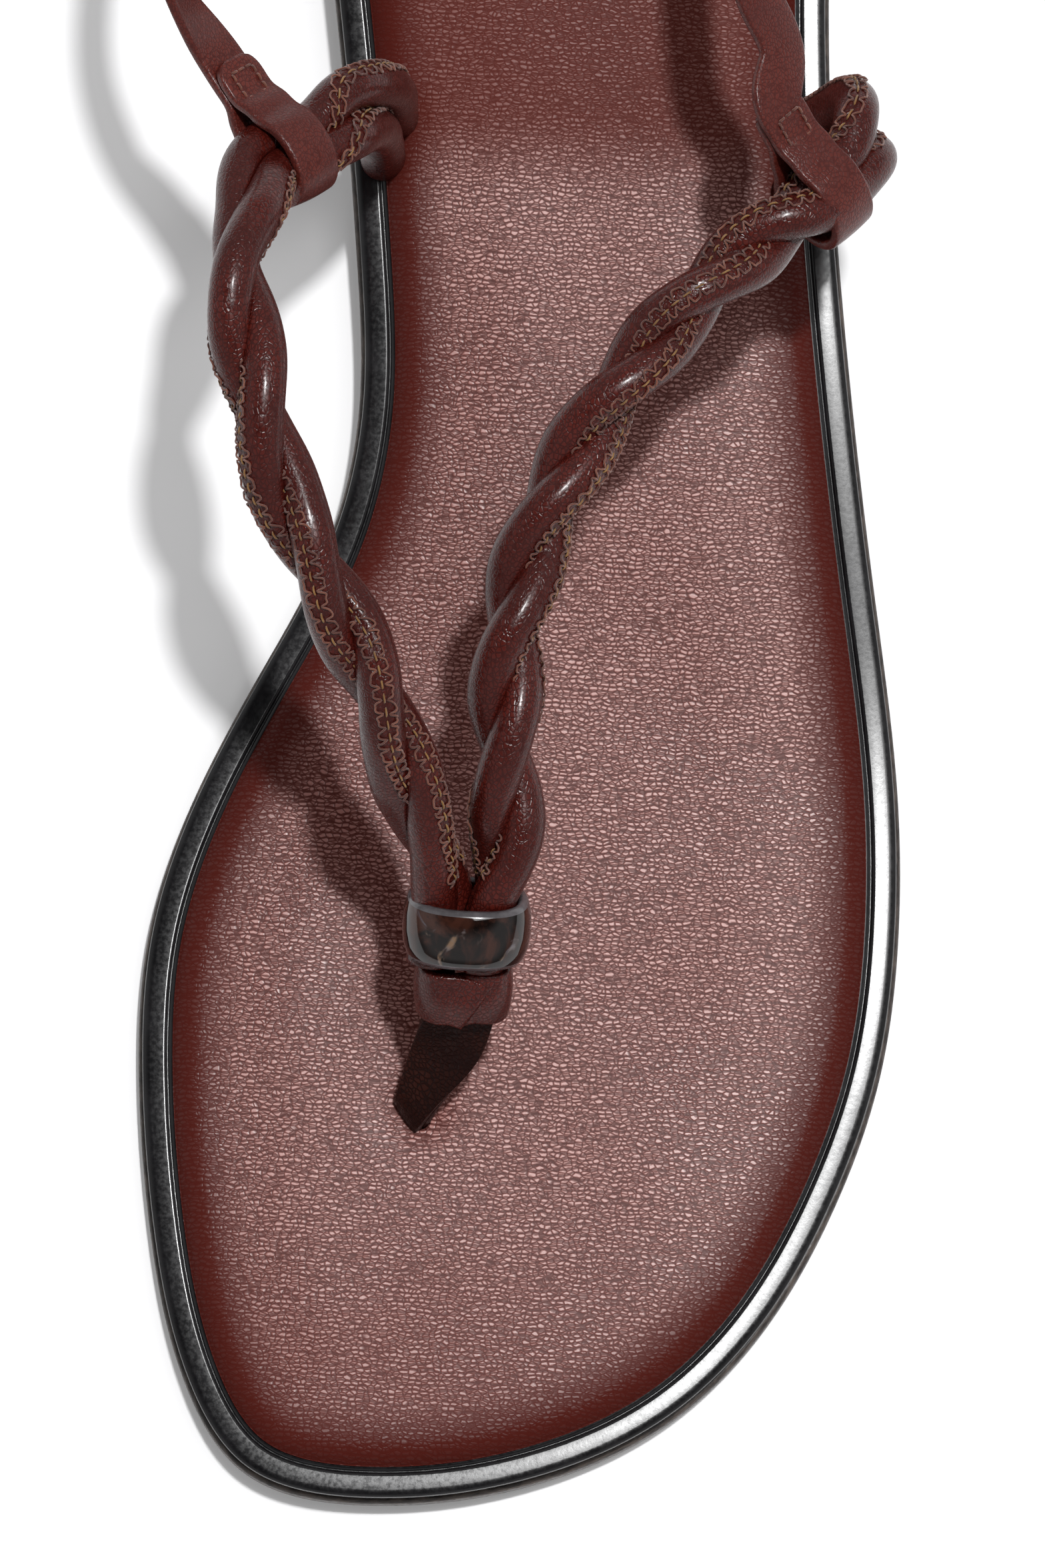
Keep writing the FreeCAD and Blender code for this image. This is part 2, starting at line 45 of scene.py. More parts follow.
# ---------------------------------------------------------------- sizes in mm, most shared with the CAD
SOLE_LAYER = 3.0
SOLE_EDGE = 6.0
RIM_SHOWN = 3.9
CORD_R = 2.6
STRAND_R = 1.75                   # less than CORD_R, because the two cords of a pair press each other flat
STRAP_W = 6.5
STRAP_FACES = (-0.58, 0.6)        # a strap's two faces, from its middle line
LOOP_HALF_RUN = 4.6
FOLD_OFFSET = 0.64
LOOP_LONG = 5.3
LOOP_SHORT = 3.9
FOLD_TIP = 12.6
STITCH_AT = 9.2
OUTLINE = [
    (-9.5, -126.0), (-24.3, -123.0), (-31.4, -113.5), (-36.6, -96.4), (-39.3, -77.0),
    (-39.2, -61.2), (-35.1, -45.2), (-27.9, -29.0), (-20.9, -12.9), (-18.5, 3.0),
    (-19.7, 18.5), (-23.0, 42.0), (-26.8, 66.0), (-28.2, 84.0), (-26.6, 101.0),
    (-20.5, 115.0), (-10.5, 123.6), (2.0, 126.0), (14.5, 122.6), (24.5, 112.5),
    (30.2, 97.0), (32.0, 78.0), (32.7, 58.0), (34.6, 34.0), (37.3, 14.2),
    (42.6, -16.0), (46.8, -40.0), (47.8, -56.0), (46.6, -72.5), (42.2, -88.0),
    (35.4, -102.0), (24.5, -114.4), (9.5, -122.4),
]
UNDERSIDE = [
    (-135.0, 2.6), (-120.0, 1.3), (-104.0, 0.35), (-88.0, 0.0), (-67.0, 0.0), (-46.0, 0.0), (-30.0, 0.6),
    (-12.0, 2.2), (8.0, 3.9), (30.0, 5.0), (50.0, 5.42), (64.0, 5.5), (100.0, 5.5), (135.0, 5.5),
]
RING_AT = (-2.1, -61.0, 30.55)
RING_AXIS = (0.0, 0.883, 0.469)
RING_FRONT = (0.0, -0.469, 0.883)
SLOT = (-7.2, -80.4)
SLOT_HALF = (2.75, 1.55)
DIMPLE_DEPTH = 0.95               # of the insole round the post
DIMPLE_R = 3.3
POST_TURN = math.radians(-50.7)
WRAP_AT = (-2.1, -67.4, 26.1)
WRAP_AXIS = (0.0, 0.66, 0.75)
WRAP_FRONT = (0.0, -0.75, 0.66)
MEDIAL_LINE = [
    (-5.1, -65.2, 28.3), (-5.1, -58.6, 31.8), (-7.6, -51.8, 38.4), (-11.6, -42.4, 47.6),
    (-16.9, -31.9, 54.0), (-25.3, -17.4, 59.0), (-31.1, 1.0, 62.0), (-32.6, 9.4, 60.8),
    (-31.6, 17.6, 56.2),
]
LATERAL_LINE = [
    (0.9, -65.2, 28.3), (0.9, -58.6, 31.8), (1.9, -52.5, 35.6), (1.2, -43.5, 40.2),
    (0.8, -32.8, 44.0), (2.3, -21.1, 46.0), (12.5, 0.9, 49.0), (20.8, 11.6, 48.6),
    (28.6, 19.6, 46.4),
]
MEDIAL_LOOP = (-28.2, 24.3, 50.0)
LATERAL_LOOP = (33.7, 24.6, 44.0)
MEDIAL_DIR = (0.62, 0.50, -0.60)
LATERAL_DIR = (0.62, 0.68, -0.40)
MEDIAL_ENDS = (
    [(-22.9, 32.2, 45.0), (-19.0, 34.8, 40.0), (-16.9, 36.0, 31.0), (-16.6, 36.2, 20.0), (-16.6, 36.2, 8.4)],
    [(-21.0, 27.6, 44.0), (-19.0, 30.0, 37.5), (-18.1, 31.2, 28.0), (-17.9, 31.4, 19.0), (-17.9, 31.4, 8.4)],
)
LATERAL_ENDS = (
    [(39.4, 29.8, 38.4), (38.3, 31.4, 32.5), (34.9, 31.0, 25.0), (31.4, 30.6, 18.0), (30.8, 30.4, 8.4)],
    [(37.0, 34.2, 41.5), (36.6, 37.2, 36.5), (33.9, 37.2, 27.5), (31.0, 36.6, 19.0), (30.4, 36.4, 8.5)],
)
# Seams of the rolled cords: (share of the strap from the ring, degrees round from the top to the right).
MEDIAL_SEAM = [
    (0, 95), (0.08, 80), (0.2, 40), (0.35, 5), (0.45, -20), (0.55, -40), (0.67, -85), (0.76, -180),
    (0.85, -280), (0.93, -290), (1, -300),
]
LATERAL_SEAM = [
    (0, 310), (0.15, 280), (0.24, 180), (0.32, 95), (0.45, 72), (0.54, 62), (0.63, 45), (0.72, 8),
    (0.8, -15), (0.9, -50), (1, -75),
]
STITCH = 1.45                     # from one stitch of a seam to the next
OUTER_ROW = 0.42                  # radians round the cord from the seam to the rows' outer loops
INNER_ROW = 0.13                  # and to their inner loops
SEAM_THREAD_R = 0.135
OCHRE_THREAD_R = 0.13
BOX_THREAD_R = 0.16
BOX_HALF = 1.7                    # half a side of the sewn squares
# How far the pair has turned: (share of the strap from the ring, degrees).
MEDIAL_TWIST = [
    (0, 135), (0.07, 145), (0.136, 190), (0.321, 370), (0.463, 553), (0.633, 732), (0.782, 918),
    (0.94, 1039), (1, 1039),
]
LATERAL_TWIST = [
    (0, -40), (0.05, -30), (0.1, 0), (0.237, 183), (0.371, 361), (0.503, 541), (0.644, 721),
    (0.79, 902), (0.909, 1083), (0.975, 1196), (1, 1196),
]
TWIST_STEP = 1.3                  # between the places where the twist is worked out
CORD_STEP = 0.55                  # between the rings of a cord's skin
CORD_SIDES = 48
RING_LINE = [
    ((-41.6, 41.2, 53.6), (0.42, 0.12, -0.90)), ((-45.0, 50.0, 55.0), (0.38, 0.05, -0.92)),
    ((-45.9, 61.0, 56.0), (0.36, 0.0, -0.93)), ((-43.6, 76.0, 57.4), (0.35, 0.0, -0.94)),
    ((-37.6, 91.0, 58.8), (0.35, 0.0, -0.94)), ((-28.0, 103.6, 59.8), (0.35, 0.0, -0.94)),
    ((-15.0, 111.4, 60.4), (0.35, 0.05, -0.94)), ((-1.0, 113.4, 60.8), (0.38, 0.10, -0.92)),
    ((11.0, 109.6, 60.6), (0.48, 0.10, -0.87)), ((18.2, 103.0, 60.0), (0.62, 0.05, -0.78)),
]
SHORT_LINE = [
    ((28.0, 39.0, 49.8), (0.68, 0.35, -0.60)), ((24.9, 45.4, 52.6), (0.73, 0.15, -0.64)),
    ((23.2, 52.5, 54.4), (0.75, 0.02, -0.66)),
]
BUCKLE_AT = (22.0, 84.0, 58.0)


# ---------------------------------------------------------------- small mathematics
def arr(*v):
    return np.array(v, float)


def unit(v):
    v = np.asarray(v, float)
    return v / np.linalg.norm(v, axis=-1, keepdims=True)


BUCKLE_U = unit((-0.011, 0.995, 0.0995))
BUCKLE_N = unit(np.cross(unit((0.75, 0.0, -0.66)), BUCKLE_U))
BUCKLE_W = np.cross(BUCKLE_U, BUCKLE_N)


def smooth(points, step, closed=False):
    """Evenly spaced rows of a smooth curve through rows whose first three columns are places."""
    p = np.array(points, float)
    if closed:
        p = np.vstack([p, p[:1]])
    places = p[:, :3]
    t = np.concatenate([[0], np.cumsum(np.linalg.norm(np.diff(places, axis=0), axis=1))])
    h = np.diff(t)
    n = len(t)
    slope = np.diff(p, axis=0) / h[:, None]
    system = np.zeros((n, n))
    right = np.zeros((n, p.shape[1]))
    for i in range(1, n - 1):
        system[i, i - 1:i + 2] = h[i - 1], 2 * (h[i - 1] + h[i]), h[i]
        right[i] = 6 * (slope[i] - slope[i - 1])
    system[0, 0] = 1
    system[-1, -1] = 1
    if closed:
        system[0, -1] = -1
        system[-1] = 0
        system[-1, [0, 1]] = 2 * h[0], h[0]
        system[-1, [-2, -1]] = h[-1], 2 * h[-1]
        right[-1] = 6 * (slope[0] - slope[-1])
    bend = np.linalg.solve(system, right)

    def at(u):
        k = np.clip(np.searchsorted(t, u, side="right") - 1, 0, n - 2)
        hk = h[k][:, None]
        after = (t[k + 1] - u)[:, None]
        before = (u - t[k])[:, None]
        value = (bend[k] * after ** 3 + bend[k + 1] * before ** 3) / (6 * hk)
        value += (p[k] / hk - bend[k] * hk / 6) * after
        return value + (p[k + 1] / hk - bend[k + 1] * hk / 6) * before

    fine = np.linspace(0, t[-1], 40 * n)
    run = np.concatenate([[0], np.cumsum(np.linalg.norm(np.diff(at(fine)[:, :3], axis=0), axis=1))])
    count = max(int(run[-1] / step), 2)
    even = np.interp(np.linspace(0, run[-1], count + 1), run, fine)
    rows = at(even)
    return rows[:-1] if closed else rows


def tangents(line, closed=False):
    if closed:
        return unit(np.roll(line, -1, 0) - np.roll(line, 1, 0))
    return unit(np.gradient(line, axis=0))


def carried(line, first):
    """Directions across a line, carried along it without turning about it."""
    along = tangents(line)
    normals = []
    normal = np.asarray(first, float)
    for t in along:
        normal = unit(normal - t * np.dot(normal, t))
        normals.append(normal)
    return np.array(normals)


def search_tree(points):
    tree = KDTree(len(points))
    for k, p in enumerate(points):
        tree.insert(p, k)
    tree.balance()
    return tree


def blend_step(x, low, high):
    t = np.clip((x - low) / (high - low), 0, 1)
    return t * t * (3 - 2 * t)


# ---------------------------------------------------------------- meshes
def mesh_object(name, verts, faces):
    mesh = bpy.data.meshes.new(name)
    mesh.from_pydata((np.asarray(verts) * MM).tolist(), [], faces)
    mesh.shade_smooth()
    mesh.validate()
    obj = bpy.data.objects.new(name, mesh)
    bpy.context.scene.collection.objects.link(obj)
    return obj


def quads(rows, sides, wrap_rows=False, wrap_sides=True, start=0):
    faces = []
    for i in range(rows if wrap_rows else rows - 1):
        a = start + i * sides
        b = start + ((i + 1) % rows) * sides
        for j in range(sides if wrap_sides else sides - 1):
            k = (j + 1) % sides
            faces.append((a + j, a + k, b + k, b + j))
    return faces


def skin(grid, closed=False, start=0):
    """Vertices and faces of a tube through rings of points, with flat ends closed."""
    rows, sides, _ = grid.shape
    verts = grid.reshape(-1, 3)
    faces = quads(rows, sides, wrap_rows=closed, start=start)
    if not closed:
        centres = np.array([grid[0].mean(0), grid[-1].mean(0)])
        verts = np.vstack([verts, centres])
        first, last = start + rows * sides, start + rows * sides + 1
        for j in range(sides):
            k = (j + 1) % sides
            faces.append((first, start + k, start + j))
            faces.append((last, start + (rows - 1) * sides + j, start + (rows - 1) * sides + k))
    return verts, faces


def swept(name, line, across, normal, section, closed=False):
    """A section, as (rings x sides x 2) or (sides x 2) places along across and normal, swept on a line."""
    section = np.asarray(section, float)
    if section.ndim == 2:
        section = np.broadcast_to(section, (len(line),) + section.shape)
    grid = line[:, None] + across[:, None] * section[:, :, :1] + normal[:, None] * section[:, :, 1:]
    verts, faces = skin(grid, closed)
    return mesh_object(name, verts, faces)


def joined(name, parts):
    """One object from several lists of vertices and faces."""
    verts, faces, start = [], [], 0
    for v, f in parts:
        verts.append(v)
        faces += [tuple(start + k for k in face) for face in f]
        start += len(v)
    return mesh_object(name, np.vstack(verts), faces)


def round_section(width, low, high, corner, crown=0.0, arc=4, across=8):
    """A strap's section: a rectangle with round corners and slightly swollen faces."""
    half, pts = width / 2, []
    corners = [(half - corner, high - corner, 0), (-half + corner, high - corner, 90),
               (-half + corner, low + corner, 180), (half - corner, low + corner, 270)]
    for i, (x, y, begin) in enumerate(corners):
        for k in range(arc + 1):
            a = math.radians(begin + 90 * k / arc)
            pts.append((x + corner * math.cos(a), y + corner * math.sin(a)))
        if i in (0, 2):
            side = 1 if i == 0 else -1
            for k in range(1, across):
                f = k / across
                bulge = crown * math.sin(math.pi * f) * side
                pts.append((side * (half - corner) * (1 - 2 * f), (high if i == 0 else low) + bulge))
    return np.array(pts)


def rope(points, radius, sides=7, first=(0.13, 0.37, 0.92), closed=False):
    """Vertices and faces of a thin round thread or wire through closely spaced points."""
    line = np.asarray(points, float)
    along = tangents(line, closed)
    normal = carried(line, first)
    other = np.cross(along, normal)
    angle = np.linspace(0, 2 * math.pi, sides, endpoint=False)
    r = np.full(len(line), float(radius))
    if not closed:
        r[0] = r[-1] = radius * 0.55
    grid = line[:, None] + r[:, None, None] * (
        normal[:, None] * np.cos(angle)[None, :, None] + other[:, None] * np.sin(angle)[None, :, None])
    return skin(grid, closed)


# ---------------------------------------------------------------- materials
def colour(r, g, b):
    """An 8-bit display colour as linear RGBA."""
    return tuple((c / 255 / 12.92 if c / 255 <= 0.04045 else ((c / 255 + 0.055) / 1.055) ** 2.4)
                 for c in (r, g, b)) + (1.0,)


class Look:
    """A node material being built round one Principled shader."""

    def __init__(self, name, base, roughness, **sockets):
        self.material = bpy.data.materials.new(name)
        self.material.use_nodes = True
        self.nodes = self.material.node_tree.nodes
        self.links = self.material.node_tree.links
        self.shader = self.nodes["Principled BSDF"]
        self.set("Base Color", base)
        self.set("Roughness", roughness)
        for key, value in sockets.items():
            self.set(key.replace("_", " "), value)
        self.place = self.add("ShaderNodeTexCoord").outputs["Object"]

    def set(self, socket, value):
        self.shader.inputs[socket].default_value = value

    def add(self, kind, **inputs):
        node = self.nodes.new(kind)
        for key, value in inputs.items():
            name = key.replace("_", " ")
            if name in node.inputs:
                if isinstance(value, bpy.types.NodeSocket):
                    self.links.new(value, node.inputs[name])
                else:
                    node.inputs[name].default_value = value
            else:
                setattr(node, key, value)
        return node

    def scaled(self, x, y, z, turn=(0, 0, 0)):
        """Places in periods of x, y and z mm."""
        node = self.add("ShaderNodeMapping", Vector=self.place, Scale=(1000 / x, 1000 / y, 1000 / z),
                        Rotation=turn)
        return node.outputs["Vector"]

    def noise(self, place, detail=3.0, rough=0.55, distortion=0.0):
        node = self.add("ShaderNodeTexNoise", Vector=place, Scale=1.0, Detail=detail, Roughness=rough,
                        Distortion=distortion)
        return node.outputs["Fac"]

    def furrows(self, place):
        """The distance to the nearest border between cells: 0 in the furrows of grained leather."""
        node = self.add("ShaderNodeTexVoronoi", feature="DISTANCE_TO_EDGE", Vector=place, Scale=1.0)
        return node.outputs["Distance"]

    def math(self, operation, a, b=0.5):
        node = self.nodes.new("ShaderNodeMath")
        node.operation = operation
        for socket, value in zip(node.inputs, (a, b)):
            if isinstance(value, bpy.types.NodeSocket):
                self.links.new(value, socket)
            else:
                socket.default_value = value
        return node.outputs[0]

    def ramp(self, value, low, high, out_low=0.0, out_high=1.0):
        node = self.add("ShaderNodeMapRange", interpolation_type="SMOOTHSTEP")
        self.links.new(value, node.inputs["Value"])
        limits = {"From Min": low, "From Max": high, "To Min": out_low, "To Max": out_high}
        for socket, number in limits.items():
            node.inputs[socket].default_value = number
        return node.outputs["Result"]

    def mix(self, factor, a, b):
        """Colour a where the factor is 0 and colour b where it is 1."""
        node = self.nodes.new("ShaderNodeMix")
        node.data_type = "RGBA"
        for socket, value in (("Factor", factor), ("A", a), ("B", b)):
            kind = "VALUE" if socket == "Factor" else "RGBA"
            target = [s for s in node.inputs if s.name == socket and s.type == kind][0]
            if isinstance(value, bpy.types.NodeSocket):
                self.links.new(value, target)
            else:
                target.default_value = value
        return [s for s in node.outputs if s.type == "RGBA"][0]

    def attribute(self, name):
        return self.add("ShaderNodeAttribute", attribute_name=name).outputs["Fac"]

    def bump(self, height, distance, strength=1.0):
        previous = self.shader.inputs["Normal"]
        node = self.add("ShaderNodeBump", Strength=strength, Distance=distance * MM)
        self.links.new(height, node.inputs["Height"])
        if previous.is_linked:
            self.links.new(previous.links[0].from_socket, node.inputs["Normal"])
        self.links.new(node.outputs["Normal"], previous)

    def feed(self, socket, value):
        self.links.new(value, self.shader.inputs[socket])


def insole_look():
    """Pebbled leather: low glossy pillows in wavy rows across the foot, dull dark furrows between them. The
    pillows' light pinkish colour is painted sheen, strongest in the middle and giving way to painted shade
    at the rolled edges, the heel and the toe.
    """
    look = Look("insole_leather", colour(92, 36, 30), 0.4, Specular_IOR_Level=0.8)
    sway = look.noise(look.scaled(2.2, 2.4, 4.0), 1.0)
    wander = look.noise(look.scaled(0.7, 0.7, 1.0), 1.0)
    rows = look.add("ShaderNodeSeparateXYZ", Vector=look.scaled(1.0, 0.6, 1.0)).outputs["Y"]
    phase = look.math("ADD", rows, look.math("ADD", look.math("MULTIPLY", sway, 2.2),
                                             look.math("MULTIPLY", wander, 0.6)))
    wave = look.math("SINE", look.math("MULTIPLY", phase, 2 * math.pi))
    split = look.furrows(look.scaled(0.74, 0.5, 2.0))
    swell = look.ramp(wave, -0.9, 0.6, 0.25, 1.0)
    pillow = look.math("MULTIPLY", swell, look.ramp(split, 0.0, 0.22, 0.15, 1.0))
    fine = look.noise(look.scaled(0.3, 0.26, 0.3), 2.0)
    blotch = look.noise(look.scaled(26, 22, 22), 3.0)
    edge = look.attribute("edge")
    gloss = look.attribute("gloss")
    # painted sheen: light pinkish pillow tones that stand in for the lamps' highlight on the pillows
    base = look.mix(look.ramp(blotch, 0.3, 0.7), colour(150, 92, 84), colour(174, 118, 110))
    grained = look.mix(pillow, colour(72, 26, 20), base)
    # painted shade: where the gloss attribute is low (heel, toe and rolled edges) the painted sheen gives
    # way to plain dark leather
    sheen_painted_by_place = look.mix(gloss, colour(88, 34, 27), grained)
    # painted shade: the rolled edge is painted darker still, where the surface turns away from the light
    look.feed("Base Color", look.mix(edge, sheen_painted_by_place, colour(74, 26, 21)))
    look.feed("Roughness", look.ramp(blotch, 0.3, 0.7, 0.38, 0.46))
    shine = look.math("MULTIPLY", look.ramp(pillow, 0.1, 0.8, 0.2, 1.0), gloss)
    look.feed("Specular IOR Level", shine)
    look.bump(pillow, 0.05, 0.7)
    look.bump(fine, 0.012, 0.6)
    return look.material


def grain_look(name, dark, light, roughness, grain=0.6, depth=0.05, coat=0.2, gloss=0.3):
    """Smooth, fine-grained leather with a soft gloss."""
    look = Look(name, dark, roughness, Specular_IOR_Level=gloss, Coat_Weight=coat, Coat_Roughness=0.18)
    blotch = look.noise(look.scaled(9, 9, 9), 3.0)
    furrow = look.furrows(look.scaled(grain, grain * 1.25, grain))
    pillow = look.ramp(furrow, 0.0, 0.22)
    creases = look.noise(look.scaled(1.1, 1.9, 1.1), 4.0, 0.6, 0.4)
    base = look.mix(look.ramp(blotch, 0.3, 0.72), dark, light)
    furrows = (dark[0] * 0.72, dark[1] * 0.66, dark[2] * 0.66, 1)
    look.feed("Base Color", look.mix(pillow, furrows, base))
    look.feed("Roughness", look.ramp(creases, 0.3, 0.75, roughness - 0.06, roughness + 0.12))
    look.bump(pillow, depth, 0.7)
    look.bump(creases, depth * 1.6, 0.5)
    return look.material


def rim_look():
    look = Look("black_lacquered_leather", colour(18, 17, 19), 0.2, Specular_IOR_Level=0.5)
    grain = look.noise(look.scaled(0.5, 0.5, 0.5), 3.0, 0.6)
    broad = look.noise(look.scaled(7, 7, 7), 3.0)
    look.feed("Base Color", look.mix(look.ramp(broad, 0.35, 0.7), colour(14, 13, 15), colour(26, 25, 27)))
    look.feed("Roughness", look.ramp(grain, 0.3, 0.7, 0.17, 0.27))
    look.bump(grain, 0.008, 0.5)
    look.bump(broad, 0.08, 0.2)
    return look.material


def edge_look():
    look = Look("edge_dyed_leather", colour(52, 46, 43), 0.42, Specular_IOR_Level=0.5)
    fibres = look.noise(look.scaled(2.2, 2.2, 0.25), 4.0, 0.6)
    spots = look.noise(look.scaled(0.5, 0.5, 0.4), 3.0)
    look.feed("Base Color", look.mix(look.ramp(fibres, 0.35, 0.7), colour(40, 34, 32), colour(86, 76, 70)))
    look.feed("Roughness", look.ramp(spots, 0.3, 0.7, 0.34, 0.55))
    look.bump(fibres, 0.08, 0.6)
    return look.material


def resin_look():
    look = Look("horn_resin", colour(24, 14, 12), 0.06, Specular_IOR_Level=0.55)
    wisps = look.noise(look.scaled(6.0, 9.0, 5.0), 4.0, 0.6, 1.4)
    light = look.noise(look.scaled(5.0, 7.0, 4.0), 3.0, 0.55, 2.0)
    dark = look.mix(look.ramp(wisps, 0.42, 0.62), colour(15, 8, 7), colour(58, 32, 24))
    amber = look.mix(look.ramp(wisps, 0.35, 0.6), colour(120, 92, 66), colour(96, 98, 108))
    look.feed("Base Color", look.mix(look.ramp(light, 0.6, 0.74), dark, amber))
    return look.material


def thread_look(name, dark, light):
    look = Look(name, dark, 0.5, Specular_IOR_Level=0.45, Sheen_Weight=0.25)
    twist = look.add("ShaderNodeTexWave", Vector=look.scaled(1, 1, 1, (0.6, 0.3, 0.8)), Scale=4.0,
                     Distortion=1.5).outputs["Fac"]
    tone = look.noise(look.scaled(3, 3, 3), 2.0)
    look.feed("Base Color", look.mix(look.ramp(tone, 0.35, 0.65), dark, light))
    look.bump(twist, 0.05, 0.7)
    return look.material


def metal_look():
    look = Look("antique_brass", colour(150, 118, 70), 0.24, Metallic=1.0)
    wear = look.noise(look.scaled(2.5, 2.5, 2.5), 4.0)
    look.feed("Base Color", look.mix(look.ramp(wear, 0.35, 0.7), colour(120, 92, 54), colour(176, 142, 92)))
    look.feed("Roughness", look.ramp(wear, 0.3, 0.7, 0.16, 0.36))
    return look.material


def plain_look(name, dark, light, roughness, size, depth, metallic=0.0):
    look = Look(name, dark, roughness, Metallic=metallic)
    tone = look.noise(look.scaled(size, size, size), 4.0, 0.6)
    look.feed("Base Color", look.mix(look.ramp(tone, 0.3, 0.7), dark, light))
    look.bump(tone, depth, 0.6)
    return look.material


LOOKS = {
    "insole": insole_look(),
    "cord": grain_look("cord_leather", colour(64, 17, 12), colour(84, 26, 19), 0.27, 0.5, 0.05, 0.2, 0.24),
    "strap": grain_look("strap_leather", colour(80, 28, 22), colour(96, 38, 30), 0.36, 0.45, 0.03, 0.1),
    "lining": grain_look("lining_leather", colour(112, 62, 50), colour(130, 76, 62), 0.62, 0.7, 0.06, 0.0),
    "post": grain_look("post_leather", colour(30, 10, 7), colour(50, 20, 13), 0.36, 0.6, 0.08, 0.0, 0.1),
    "rim": rim_look(),
    "edge": edge_look(),
    "resin": resin_look(),
    # painted reflection: light grey for the reflection on the bead's polished bevels
    "bevel_reflection": plain_look("painted_reflection_bevel", colour(58, 55, 57), colour(98, 94, 97), 0.2, 4.0, 0.01),
    "thread": thread_look("seam_thread", colour(86, 42, 30), colour(122, 68, 48)),
    "ochre": thread_look("ochre_thread", colour(122, 82, 34), colour(146, 104, 50)),
    "metal": metal_look(),
    "steel": plain_look("steel", colour(150, 150, 152), colour(178, 178, 180), 0.35, 0.6, 0.02, 1.0),
    "board": plain_look("fibre_board", colour(150, 124, 92), colour(172, 146, 110), 0.8, 0.8, 0.08),
    "stack": plain_look("stacked_leather", colour(44, 36, 33), colour(64, 54, 49), 0.5, 0.7, 0.06),
    "rubber": plain_look("heel_rubber", colour(28, 27, 27), colour(38, 37, 36), 0.62, 0.6, 0.06),
}


def dress(obj, *names):
    obj.data.materials.clear()
    for name in names:
        obj.data.materials.append(LOOKS[name])


def piece(obj, body, slot, looks, *nodes):
    """Finishes a new piece: its materials, its body and the CAD nodes it stands for; its slot is not used.
    """
    dress(obj, *looks)
    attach(obj, body)
    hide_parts(*nodes)
    return obj


# ---------------------------------------------------------------- sole
OUTLINE_LINE = smooth([(x, y, 0) for x, y in OUTLINE], 0.7, closed=True)
OUTLINE_RUN = tangents(OUTLINE_LINE, closed=True)
INWARD = np.stack([OUTLINE_RUN[:, 1], -OUTLINE_RUN[:, 0], np.zeros(len(OUTLINE_RUN))], 1)
UNDER_ROWS = smooth([(y, z, 0) for y, z in UNDERSIDE], 0.5)


def underside(y):
    return np.interp(y, UNDER_ROWS[:, 0], UNDER_ROWS[:, 1])


def inset(distance):
    return OUTLINE_LINE + INWARD * distance


def edge_rings(profile):
    """Rings round the sole at (distance in, height above the underside)."""
    grid = []
    for distance, height in profile:
        ring = inset(distance).copy()
        ring[:, 2] = underside(ring[:, 1]) + height
        grid.append(ring)
    return np.array(grid)


def arc_profile(centre_in, centre_up, radius, begin, end, steps=5):
    """Part of a round edge: 180 degrees points outwards, 90 upwards."""
    angles = np.radians(np.linspace(begin, end, steps))
    return [(centre_in + radius * math.cos(a), centre_up + radius * math.sin(a)) for a in angles]


def inside(points, loop):
    x, y = points[:, 0], points[:, 1]
    found = np.zeros(len(points), bool)
    for (x0, y0), (x1, y1) in zip(loop, np.roll(loop, -1, 0)):
        crosses = (y0 > y) != (y1 > y)
        with np.errstate(divide="ignore", invalid="ignore"):
            found ^= crosses & (x < (x1 - x0) * (y - y0) / (y1 - y0) + x0)
    return found


def filled(loop, spacing, holes=()):
    """Triangles over the inside of a loop, with its own points first."""
    low, high = loop.min(0), loop.max(0)
    rows = np.arange(low[1] + spacing / 2, high[1], spacing * 0.866)
    spots = []
    for k, y in enumerate(rows):
        xs = np.arange(low[0] + spacing * (0.25 + 0.5 * (k % 2)), high[0], spacing)
        spots.append(np.stack([xs, np.full_like(xs, y)], 1))
    spots = np.vstack(spots)
    borders = np.vstack([loop] + list(holes))
    tree = search_tree(np.column_stack([borders, np.zeros(len(borders))]))
    keep = inside(spots, loop)
    for hole in holes:
        keep &= ~inside(spots, hole)
    clear = spacing * 0.55
    spots = np.array([s for s, k in zip(spots, keep) if k and tree.find((s[0], s[1], 0))[2] > clear])
    points = np.vstack([borders, spots])
    edges, start = [], 0
    for ring in [loop] + list(holes):
        edges += [(start + k, start + (k + 1) % len(ring)) for k in range(len(ring))]
        start += len(ring)
    verts, _, faces = delaunay_2d_cdt([Vector(p) for p in points], edges, [], 0, 1e-7)[:3]
    verts = np.array([tuple(v) for v in verts])
    middles = np.array([verts[list(f)].mean(0) for f in faces])
    good = inside(middles, loop)
    for hole in holes:
        good &= ~inside(middles, hole)
    return verts, [tuple(f) for f, g in zip(faces, good) if g]


def make_outsole():
    low = arc_profile(0.35, 0.45, 0.75, 250, 180, 4)
    high = arc_profile(0.2, 2.45, 0.6, 180, 95, 4)
    grid = edge_rings([(12.0, 0.0), (1.6, 0.0)] + low + high + [(1.2, 3.0), (12.0, 3.0)])
    bottom = cap(grid[0], 0.0, flip=True)
    top = cap(grid[-1], SOLE_LAYER, flip=False)
    obj = joined("outsole_leather", [ring_band(grid), bottom, top])
    weld(obj)
    piece(obj, "sandal", "sole_edge", ["edge"], "outsole")


def ring_band(grid, closed=False):
    """Vertices and faces between rings round the sole; closed also joins the last ring to the first."""
    rows, sides, _ = grid.shape
    return grid.reshape(-1, 3), quads(rows, sides, wrap_rows=closed)


def cap(ring, height, flip):
    verts, faces = filled(ring[:, :2], 4.0)
    z = underside(verts[:, 1]) + height
    faces = [f[::-1] for f in faces] if flip else faces
    return np.column_stack([verts, z]), faces


def weld(obj, distance=0.002):
    bm = bmesh.new()
    bm.from_mesh(obj.data)
    bmesh.ops.remove_doubles(bm, verts=bm.verts, dist=distance * MM)
    bmesh.ops.recalc_face_normals(bm, faces=bm.faces)
    bm.to_mesh(obj.data)
    bm.free()
    obj.data.shade_smooth()


